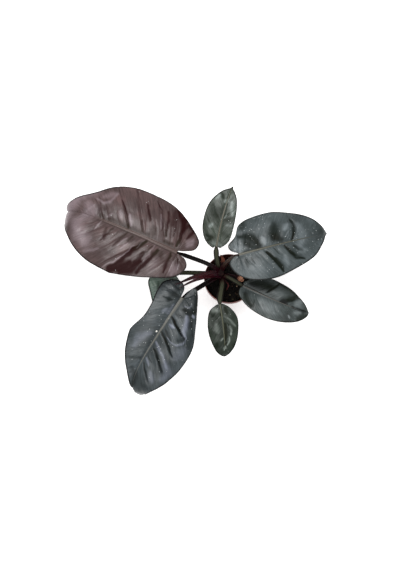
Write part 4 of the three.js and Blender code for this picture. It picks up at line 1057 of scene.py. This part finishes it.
def leaf_skin(name, body, near, far, wax, rib, margin, under, specks, gloss):
    """Leathery skin under a glossy coat, which is thin on patches of painted shade, olive near the midrib and
    dark farther out. Painted shade also darkens the creases and the grooves beside the midrib, and a painted
    grey sheen lies where the strokes put it. A pale band runs along the midrib and a dark line round the
    margin. Dust lies on top."""
    material, place, shader = start_material("skin_" + name, 0.55, specular_ior_level=0.08,
                                             coat_roughness=0.36)
    mark = dict(zip(MARKS, place.stored(*MARKS)))
    clouds = grain(place, 22, 4)
    streaks = grain(place.node("ShaderNodeCombineXYZ", None, mark["vein"] * 5, mark["out"] * 1.6,
                               mark["under"] * 9), 2.4, 4)
    bloom = grain(place, 380, 4)
    skin = (clouds * 0.6 + streaks * 0.4).tones((0.36, 0.5, 0.66), body)
    # Painted shade: the shade strokes and the creases take the `deep` colour, olive near the midrib and dark
    # farther out.
    bare = (mark["bare"] * (0.75 + streaks * 0.8) + mark["dark"] * 0.4).maths("MINIMUM", 1)
    painted_sheen_share = (mark["wax"] * (0.5 + streaks * 0.6 + bloom * 0.5)).maths("MINIMUM", 1)
    deep = mark["out"].smooth(0.15, 0.45).colour(near, far)
    # Painted sheen: the pale grey is laid over the sheen strokes.
    skin = (painted_sheen_share * 0.55).colour(bare.colour(skin, deep), wax)
    across = mark["across"].maths("ABSOLUTE")
    seen = 1 - mark["fading"].maths("MINIMUM", 1)
    on_rib = (1 - across.smooth(0.7, 1.15)) * seen
    # Painted shade in the grooves beside the pale midrib.
    groove_shade = (across.smooth(0.8, 1.1) - across.smooth(1.2, 1.9)) * seen
    skin = (groove_shade * 0.5).colour((on_rib * 0.9).colour(skin, rib), deep)
    edging = 1 - mark["to_margin"].smooth(1.4, 4)
    skin = (edging * 0.9).colour(skin, margin)
    dots = place.node("ShaderNodeTexVoronoi", None, vector=place, scale=240, out="Distance")
    kept = dots.output("Color").axes()[0].smooth(1 - specks, 1.02 - specks)
    dust = (1 - dots.smooth(0.1, 0.24)) * kept * grain(place, 16, 2).smooth(0.42, 0.6) * (1 - mark["under"])
    skin = (dust * 0.7).colour(skin, LEAF_DUST)
    mark["under"].colour(skin, streaks.colour(under, far)).feed(shader, "Base Color")
    gloss = gloss + painted_sheen_share * 0.4 + (streaks + bloom - 1) * 0.4 - bare * 0.8 - on_rib * 0.2 - edging * 0.4
    (gloss.maths("MAXIMUM", 0) * (1 - mark["under"] * 0.7)).feed(shader, "Coat Weight")
    (0.42 + clouds * 0.16 + dust * 0.3).feed(shader, "Roughness")
    (streaks * 0.3 + grain(place, 420, 3) * 0.12 + grain(place, 1800, 2) * 0.03).emboss(shader)
    return material


BLADES = {}
for seed, (name, leaf) in zip(range(150, 500, 50), LEAVES.items()):
    BLADES[name] = Blade(leaf)
    piece = BLADES[name].mesh("leaf_" + name, seed)
    piece.data.materials.append(leaf_skin(name, **LEAF_COLOURS[name]))
    belongs(piece, leaf["skin"], "blade_" + name)


# A white grain of the potting mix, light and rough like expanded rock, has fallen on the south west leaf.
# It rests loose on the skin beside the midrib.
WHITE_GRAIN_AT = (92, -6, 2.6)
WHITE_GRAIN_SIZE = (2.4, 2.0, 1.5)
WHITE_GRAIN_TINTS = ("#8d8a82", "#e8e6df", "#f5f4f0")

along, out, height = (np.array([number]) for number in WHITE_GRAIN_AT)
grain_place = BLADES["south_west"].raised(along, out, height)[0]
piece = rough_chip("white_grain", WHITE_GRAIN_SIZE, grain_place, 31, 2)
piece.data.materials.append(soil_material("white_grain", WHITE_GRAIN_TINTS, 500))
belongs(piece, "potting_mix")


# Each petiole is a firm fleshy stalk, round below and flat on top with a shallow channel, wine red or olive.
# It springs from the stem, rises and leans out, and runs into the blunt end of its blade's midrib.
STALK_RINGS = 90
STALK_SIDES = 32
STALK_BITE = 1.5
STALK_STEPS = 160
CHANNEL_HALF = 0.62
CHANNEL_DEPTH = 0.3
TOP_SHARE = 0.7
FOOT_FLARE = 0.3
NECK_FROM = 0.82
NECK_TAPER = 0.5
STALKS = {
    "north_west": {"side": 150, "inset": 4, "height": 124, "lean": 0.25, "rise": 0.3, "arrive": 0.12,
                   "half": (5.4, 4.9), "depth": (4.4, 3.4), "skin": "dark_petiole"},
    "south_west": {"side": 232, "inset": 3, "height": 110, "lean": 0.7, "rise": 0.3, "arrive": 0.05,
                   "half": (6, 5.4), "depth": (4.6, 3.4), "skin": "dark_petiole"},
    "east": {"side": 60, "inset": 3, "height": 118, "lean": 0.3, "rise": 0.32, "arrive": 0.12,
             "half": (6, 5.2), "depth": (4.4, 3.4), "skin": "dark_petiole", "looks": "brown_petiole"},
    "south_east": {"side": 328, "inset": 3, "height": 107, "lean": 0.8, "rise": 0.34, "arrive": 0.15,
                   "half": (5, 4.8), "depth": (4, 3), "skin": "green_petiole"},
    "north": {"side": 108, "inset": 3, "height": 104, "lean": 0.4, "rise": 0.4, "arrive": 0.25,
              "half": (6.2, 6.2), "depth": (4.2, 3), "skin": "green_petiole"},
    "south": {"side": 292, "inset": 3, "height": 96, "lean": 1, "rise": 0.36, "arrive": 0.25,
              "half": (6.6, 7.2), "depth": (4.2, 3), "skin": "green_petiole"},
    "west": {"side": 184, "inset": 3, "height": 101, "lean": 1.1, "rise": 0.3, "arrive": 0.05,
             "half": (5.8, 5), "depth": (4, 3), "skin": "green_petiole"},
}
FOOT_REDS_AND_SHADE = ("#0a0305", "#340b16")
JOINT_DARK = "#0f0a07"
STALK_SKINS = {
    "dark_petiole": {"body": ("#040203", "#080404", "#14080a"), "channel": "#040202", "edge": "#0c0506"},
    "brown_petiole": {"body": ("#100706", "#241210", "#3d1d18"), "channel": "#3a2c22", "edge": "#1d0b0b"},
    "green_petiole": {"body": ("#0f0f0a", "#1d1d14", "#2f2f22"), "channel": "#424436", "edge": "#0d0706"},
}


def stalk_tree():
    """Sweeps the stalk's section, flat and channelled on top, along its bent line."""
    tree, size = start_modifier(
        "stalk", Foot=Vector, Rising=Vector, Arriving=Vector, Neck=Vector, Foot_half=float, Neck_half=float,
        Depth_share=float, Rings=int, Sides=int, Skin=bpy.types.Material)
    line = tree.node("GeometryNodeCurvePrimitiveBezierSegment", None, STALK_STEPS, size["Foot"],
                     size["Rising"], size["Arriving"], size["Neck"])
    line = tree.node("GeometryNodeResampleCurve", None, curve=line, count=size["Rings"])
    line = tree.node("GeometryNodeSetCurveNormal", {"mode": "Z_UP"}, curve=line)
    share = tree.node("GeometryNodeSplineParameter", out="Factor")
    line = line.mark("along", share)
    circle = tree.node("GeometryNodeCurvePrimitiveCircle", None, resolution=size["Sides"], radius=1.0)
    across, upper, _ = tree.node("GeometryNodeInputPosition").axes()
    circle = circle.mark("across", across).mark("upper", upper)
    channel = (1 - across.maths("ABSOLUTE") / CHANNEL_HALF).maths("MAXIMUM", 0) * upper.smooth(0, 0.5)
    depth = upper.maths("MINIMUM", 0) + upper.maths("MAXIMUM", 0) * TOP_SHARE - channel * CHANNEL_DEPTH
    section = tree.node("ShaderNodeCombineXYZ", None, across, depth * size["Depth_share"] * -1, 0)
    section = tree.node("GeometryNodeSetPosition", None, geometry=circle, position=section)
    half = size["Foot_half"] + (size["Neck_half"] - size["Foot_half"]) * share
    flare = 1 + (1 - share.smooth(0, 0.07)) * FOOT_FLARE
    neck = 1 - share.smooth(NECK_FROM, 1) * NECK_TAPER
    body = tree.node("GeometryNodeCurveToMesh", None, curve=line, profile_curve=section,
                     scale=half * flare * neck, fill_caps=True)
    body = tree.node("GeometryNodeFlipFaces", None, body)
    return end_modifier(tree, tree.node("GeometryNodeSetShadeSmooth", None, body), size["Skin"])


def stalk_skin(name, body, channel, edge):
    """Fleshy skin with fine lengthwise streaks. The channel on top and its two edges have their own colours,
    the foot is dark wine red with painted shade low under the leaves, and the joint with the blade is dark."""
    material, place, shader = start_material(name, 0.4, specular_ior_level=0.05, coat_weight=0.02,
                                             coat_roughness=0.25)
    along, across, upper = place.stored("along", "across", "upper")
    streaks = grain(place.node("ShaderNodeCombineXYZ", None, along * 6, across * 5, upper * 5), 1.6, 5)
    skin = streaks.tones((0.32, 0.52, 0.72), body)
    width = across.maths("ABSOLUTE")
    in_channel = upper.smooth(0.1, 0.5) * (1 - width.smooth(0.45, 0.66)) * (0.5 + streaks * 0.5)
    on_edge = upper.smooth(-0.1, 0.25) * width.smooth(0.62, 0.85) * 0.8
    skin = on_edge.colour(in_channel.colour(skin, channel), edge)
    # Painted shade: the foot is darkened towards near black, for the shade low under the leaves as well as
    # its wine red.
    skin = ((1 - along.smooth(0.08, 0.42)) * 0.85).colour(skin, streaks.colour(*FOOT_REDS_AND_SHADE))
    (along.smooth(0.9, 0.98) * 0.8).colour(skin, JOINT_DARK).feed(shader, "Base Color")
    (0.34 + streaks * 0.2).feed(shader, "Roughness")
    (streaks * 0.25 + grain(place, 700, 3) * 0.06).emboss(shader)
    return material


def along_line(blade, spec):
    """The four control points of a stalk's line, in metres, from inside the stem to its blade's midrib."""
    bearing = math.radians(spec["side"])
    outward = Vector((math.cos(bearing), math.sin(bearing), 0))
    foot = Vector((STEM_X, STEM_Y, spec["height"])) + outward * (STEM_RADIUS - spec["inset"])
    along, up = Vector(blade.at(blade.along, 0)), Vector(blade.at(blade.up, 0))
    neck = Vector(blade.at(blade.path, 0)) - up * (KEEL_DEPTH + BLADE_THICKNESS) / 2 + along * STALK_BITE
    reach = (neck - foot).length
    lift = (outward * spec["lean"] + Vector((0, 0, 1))).normalized()
    return [point * MM for point in (foot, foot + lift * spec["rise"] * reach,
                                     neck - along * spec["arrive"] * reach, neck)]


stalk = stalk_tree()
stalk_skins = {name: stalk_skin(name, **looks) for name, looks in STALK_SKINS.items()}
for name, spec in STALKS.items():
    foot, rising, arriving, neck = along_line(BLADES[name], spec)
    (wide, narrow), (deep, shallow) = spec["half"], spec["depth"]
    start = make_mesh("start", [(0, 0, 0)], [])
    piece = grow("petiole_skin_" + name, start, stalk, Foot=foot, Rising=rising, Arriving=arriving, Neck=neck,
                 Foot_half=wide * MM, Neck_half=narrow * MM, Depth_share=(deep / wide + shallow / narrow) / 2,
                 Rings=STALK_RINGS, Sides=STALK_SIDES, Skin=stalk_skins[spec.get("looks", spec["skin"])])
    belongs(piece, spec["skin"], "petiole_" + name)


# The cataphyll is the glossy crimson sheath that wrapped the newest leaf. It stands up from the crown as a
# gutter that narrows and splits into two points, with the leaf's stalk beside it.
SHEATH_PATH = [(-22, 4, 120), (-40, 1, 138), (-80, -18, 184), (-122, -48, 233)]
SHEATH_HALF_WIDTH = 10.5
SHEATH_SPLIT = 0.6
SHEATH_TIP_SPREAD = 6
SHEATH_POINT = 0.6
SHEATH_WALL = 0.8
SHEATH_FOOT_SHARE = 0.75
SHEATH_TAPER = 0.42
SHEATH_CUP = 0.75
SHEATH_RIB = 0.18
SHEATH_UNEVEN = 0.5
SHEATH_ROWS = 120
SHEATH_COLUMNS = 12
PATH_STEPS = 80


def bent_path(points, turn, rows):
    """Places along a smooth line through points, with the directions out from it and up from it."""
    points = np.array(points, float)
    points = np.vstack([2 * points[0] - points[1], points, 2 * points[-1] - points[-2]])
    gaps = np.sqrt(np.linalg.norm(np.diff(points, axis=0), axis=1))
    path = []
    for k in range(1, len(points) - 2):
        before, start, end, beyond = points[k - 1:k + 3]
        first, middle, last = gaps[k - 1:k + 2]
        here = (end - start) / middle
        leave = ((start - before) / first - (end - before) / (first + middle) + here) * middle
        arrive = (here - (beyond - start) / (middle + last) + (beyond - end) / last) * middle
        w = np.linspace(0, 1, PATH_STEPS, endpoint=False)[:, None]
        cubic = 2 * start - 2 * end + leave + arrive
        square = -3 * start + 3 * end - 2 * leave - arrive
        path.append(((cubic * w + square) * w + leave) * w + start)
    path = np.vstack([*path, points[-2:-1]])
    run = np.r_[0, np.cumsum(np.linalg.norm(np.diff(path, axis=0), axis=1))]
    shares = np.linspace(0, 1, rows)
    middle = np.stack([np.interp(shares * run[-1], run, path[:, k]) for k in range(3)], -1)
    along = np.gradient(middle, axis=0)
    along /= np.linalg.norm(along, axis=1, keepdims=True)
    out = np.cross([0, 0, 1], along)
    out /= np.linalg.norm(out, axis=1, keepdims=True)
    angle = np.radians(turn * shares)[:, None]
    out = out * np.cos(angle) + np.cross(along, out) * np.sin(angle)
    return shares, middle, out, np.cross(along, out)


def ribbon(name, path, across, wall, crossing, has_cell=None):
    """A thin strip of skin along a line. `crossing` gives each place across and above the line."""
    shares, middle, out, up = path
    rows, columns = len(shares), len(across)
    u, j = np.meshgrid(shares, across, indexing="ij")
    x, y, thick = crossing(u, j)
    top = middle[:, None] + out[:, None] * x[..., None] + up[:, None] * y[..., None]
    low = top - up[:, None] * (wall * thick)[..., None]
    filled = np.ones((rows - 1, columns - 1), bool)
    if has_cell:
        filled = has_cell(u[:-1, :-1], j[:-1, :-1])
    framed = np.pad(filled, 1)
    faces = []
    under = rows * columns
    for i, k in np.argwhere(filled):
        a, d = i * columns + k, (i + 1) * columns + k
        b, c = a + 1, d + 1
        faces += [(a, d, c, b), (under + a, under + b, under + c, under + d)]
        sides = {(i, k + 1): (a, b), (i + 2, k + 1): (c, d), (i + 1, k): (d, a), (i + 1, k + 2): (b, c)}
        faces += [(p, q, under + q, under + p) for cell, (p, q) in sides.items() if not framed[cell]]
    piece = make_mesh(name, np.concatenate([top, low]).reshape(-1, 3), faces)
    store(piece, ("along", "across"), np.tile(np.stack([u.ravel(), j.ravel()], -1), (2, 1)))
    face_out(piece)
    return piece


def sheath_crossing(u, j):
    """The crossing of a gutter that forks at SHEATH_SPLIT of its length into two rounded prongs."""
    fork = np.clip((u - SHEATH_SPLIT) / (1 - SHEATH_SPLIT), 0, 1)
    foot = SHEATH_FOOT_SHARE + (1 - SHEATH_FOOT_SHARE) * np.minimum(1, u / 0.15)
    wide = SHEATH_HALF_WIDTH * foot * (1 - SHEATH_TAPER * u)
    outer = wide + (SHEATH_TIP_SPREAD + SHEATH_POINT - wide) * fork ** 2
    inner = SHEATH_TIP_SPREAD * np.sqrt(fork) * (0.35 + 0.65 * fork ** 2)
    slot = 1 / SHEATH_COLUMNS
    beyond = np.clip((np.abs(j) - slot) / (1 - slot), 0, 1)
    reach = np.where(fork > 0, inner + (outer - inner) * beyond, outer * np.abs(j))
    cup = (SHEATH_CUP - 0.35 * u) / SHEATH_HALF_WIDTH
    ribs = SHEATH_RIB * np.cos(np.abs(j) * 14) + SHEATH_UNEVEN * lumps(u * 60, j * 8 + 30, 6, 41)
    thick = 1 - 0.5 * np.abs(j) ** 3
    return np.sign(j) * reach, cup * reach ** 2 + ribs, thick


def sheath_skin():
    """Glossy crimson, darker to its points and edges, with a pale streak where it forks."""
    material, place, shader = start_material("red_sheath", 0.35, specular_ior_level=0.08, coat_weight=0.03,
                                             coat_roughness=0.2)
    along, across = place.stored("along", "across")
    streaks = grain(place.node("ShaderNodeCombineXYZ", None, along * 4, across * 9, 0), 2, 4)
    skin = streaks.tones((0.34, 0.5, 0.7), ("#0a0305", "#26060d", "#580e1d"))
    width = across.maths("ABSOLUTE")
    skin = (along.smooth(0.55, 0.85) * 0.85).colour(skin, "#0b0305")
    skin = (width.smooth(0.84, 1) * 0.7).colour(skin, "#170609")
    skin = ((1 - width.smooth(0.1, 0.24)) * along.smooth(0.5, 0.62) * 0.45).colour(skin, "#8a6472")
    ((1 - along.smooth(0, 0.25)) * 0.7).colour(skin, "#1f0714").feed(shader, "Base Color")
    (streaks * 0.35).emboss(shader)
    return material


def beside_slot(u, j):
    """Which cells of the gutter have skin: all but those in the slot between its two points."""
    return (u < SHEATH_SPLIT) | (np.abs(j + 0.5 / SHEATH_COLUMNS) > 1 / SHEATH_COLUMNS)


cataphyll = ribbon("red_cataphyll", bent_path(SHEATH_PATH, 0, SHEATH_ROWS),
                   np.linspace(-1, 1, 2 * SHEATH_COLUMNS + 1), SHEATH_WALL, sheath_crossing, beside_slot)
cataphyll.data.materials.append(sheath_skin())
belongs(cataphyll, "red_sheath", "cataphyll")


# The dry sheaths are what is left of older cataphylls: thin, salmon-brown paper round the crown, crumpled
# and torn at the ends as it dried, still held at the foot of the stalks.
DRY_WALL = 0.6
DRY_END_SHARE = 0.3
DRY_TEAR = 0.22
DRY_CUP = 0.35
DRY_WAVE = 0.8
DRY_CRUMPLES = ((6, 5, 1.3, 9), (9, 2.2, 0.5, 20))
DRY_ROWS = 70
DRY_COLUMNS = 15
DRY_SHEATHS = {
    "dry_sheath_north": {"path": [(-18, 20.5, 103), (-16, 31, 118), (-16, 41, 126), (-21, 51, 130)],
                         "half": 5.5, "widest": 0.5, "turn": 25, "fresh": 0.5,
                         "shades": ("#2d150f", "#5b3023", "#8a5a46")},
    "dry_sheath_east": {"path": [(-12.2, 10, 108), (2, 6, 118), (16, 0, 126), (33, -10, 122)],
                        "half": 6.4, "widest": 0.86, "turn": 20, "fresh": 0.66,
                        "shades": ("#6a3626", "#b98063", "#ecccb2")},
    "dry_sheath_south": {"path": [(-14, 4, 97), (-7, -8, 106), (-3, -19, 110), (-7, -29, 109)],
                         "half": 2.6, "widest": 0.5, "turn": -30, "fresh": 0.42,
                         "shades": ("#180709", "#3c1616", "#642f2b")},
}


def paper_skin(name, shades, fresh):
    """Thin brown paper with lengthwise fibres. Up to `fresh` of its length it is still a dark wine red."""
    material, place, shader = start_material(name + "_paper", 0.72, specular_ior_level=0.15)
    along, across = place.stored("along", "across")
    fibres = grain(place.node("ShaderNodeCombineXYZ", None, along * 5, across * 12, 0), 2.2, 5)
    spots = grain(place, 180, 4).smooth(0.56, 0.7) * 0.6
    red = (spots + 1 - along.smooth(fresh, fresh + 0.16)).maths("MINIMUM", 1)
    red.colour(fibres.tones((0.28, 0.5, 0.74), shades), "#1d070a").feed(shader, "Base Color")
    (fibres * 0.5).emboss(shader)
    return material


def dry_crossing(half, widest, seed):
    """The crossing of a torn, crumpled sheath that is at its widest at the share `widest` of its length."""
    power = math.log(0.5) / math.log(widest)

    def crossing(u, j):
        width = half * (DRY_END_SHARE + (1 - DRY_END_SHARE) * np.sin(np.pi * u ** power))
        ragged = 1 - DRY_TEAR * np.abs(lumps(u * 50, np.sign(j) * 20 + 40, 2.5, seed)) * np.abs(j)
        crumple = DRY_WAVE * np.sin(5 * u + 2 * j)
        for spread, size, height, step in DRY_CRUMPLES:
            crumple += height * lumps(u * 40, j * spread + 30, size, seed + step)
        return j * width * ragged, DRY_CUP * width * j * j + crumple, np.ones(u.shape)

    return crossing


for seed, (name, spec) in enumerate(DRY_SHEATHS.items(), 60):
    crossing = dry_crossing(spec["half"], spec["widest"], seed)
    piece = ribbon(name + "_paper", bent_path(spec["path"], spec["turn"], DRY_ROWS),
                   np.linspace(-1, 1, DRY_COLUMNS), DRY_WALL, crossing)
    piece.data.materials.append(paper_skin(name, spec["shades"], spec["fresh"]))
    belongs(piece, "dry_sheath", name)


# The plant stands on a wide pale floor in a pale room and is looked at from almost straight above, a little
# from the south. A wide soft window of light hangs over it, so skin that faces up shines grey.
VIEW_HEIGHT = math.radians(78)
VIEW_FROM = (-0.0698, -0.3275, 1.5689)
LENS_MM = 39.63
SENSOR_MM = 36
FLOOR_HALF = 40
FLOOR_DROP = 0.3
FLOOR_GLOW = 0.55
SKY_STRENGTH = 0.62
LIGHTS = {
    "window": {"place": (-0.25, 0.40, 1.95), "size": 1.1, "power": 24},
    "fill": {"place": (-0.35, -1.0, 1.9), "size": 1.1, "power": 14},
}
PLANT_MIDDLE = Vector((-0.06, -0.03, 0.15))

corners = [(x * FLOOR_HALF / MM, y * FLOOR_HALF / MM, -FLOOR_DROP)
           for x, y in ((-1, -1), (1, -1), (1, 1), (-1, 1))]
floor = make_mesh("floor", corners, [(0, 1, 2, 3)])
floor_paint, floor_place, floor_shader = start_material("floor", 0.8)
grain(floor_place, 3, 3).colour("#eeeeed", "#f4f4f3").feed(floor_shader, "Base Color")
floor_shader.inputs["Emission Color"].default_value = (1, 1, 1, 1)
floor_shader.inputs["Emission Strength"].default_value = FLOOR_GLOW
floor.data.materials.append(floor_paint)

scene.view_settings.view_transform = "Standard"
lens = bpy.data.cameras.new("camera")
lens.lens = LENS_MM
lens.sensor_width = SENSOR_MM
lens.clip_end = 50
camera = bpy.data.objects.new("camera", lens)
camera.location = VIEW_FROM
camera.rotation_euler = (math.pi / 2 - VIEW_HEIGHT, 0, 0)
scene.collection.objects.link(camera)
scene.camera = camera

for name, spec in LIGHTS.items():
    lamp = bpy.data.lights.new(name, "AREA")
    lamp.shape = "DISK"
    lamp.size = spec["size"]
    lamp.energy = spec["power"]
    light = bpy.data.objects.new(name, lamp)
    light.location = spec["place"]
    light.rotation_euler = (PLANT_MIDDLE - light.location).to_track_quat("-Z", "Y").to_euler()
    light.visible_camera = False
    scene.collection.objects.link(light)

world = bpy.data.worlds.new("room")
world.use_nodes = True
world.node_tree.nodes["Background"].inputs["Color"].default_value = (1, 1, 1, 1)
world.node_tree.nodes["Background"].inputs["Strength"].default_value = SKY_STRENGTH
scene.world = world
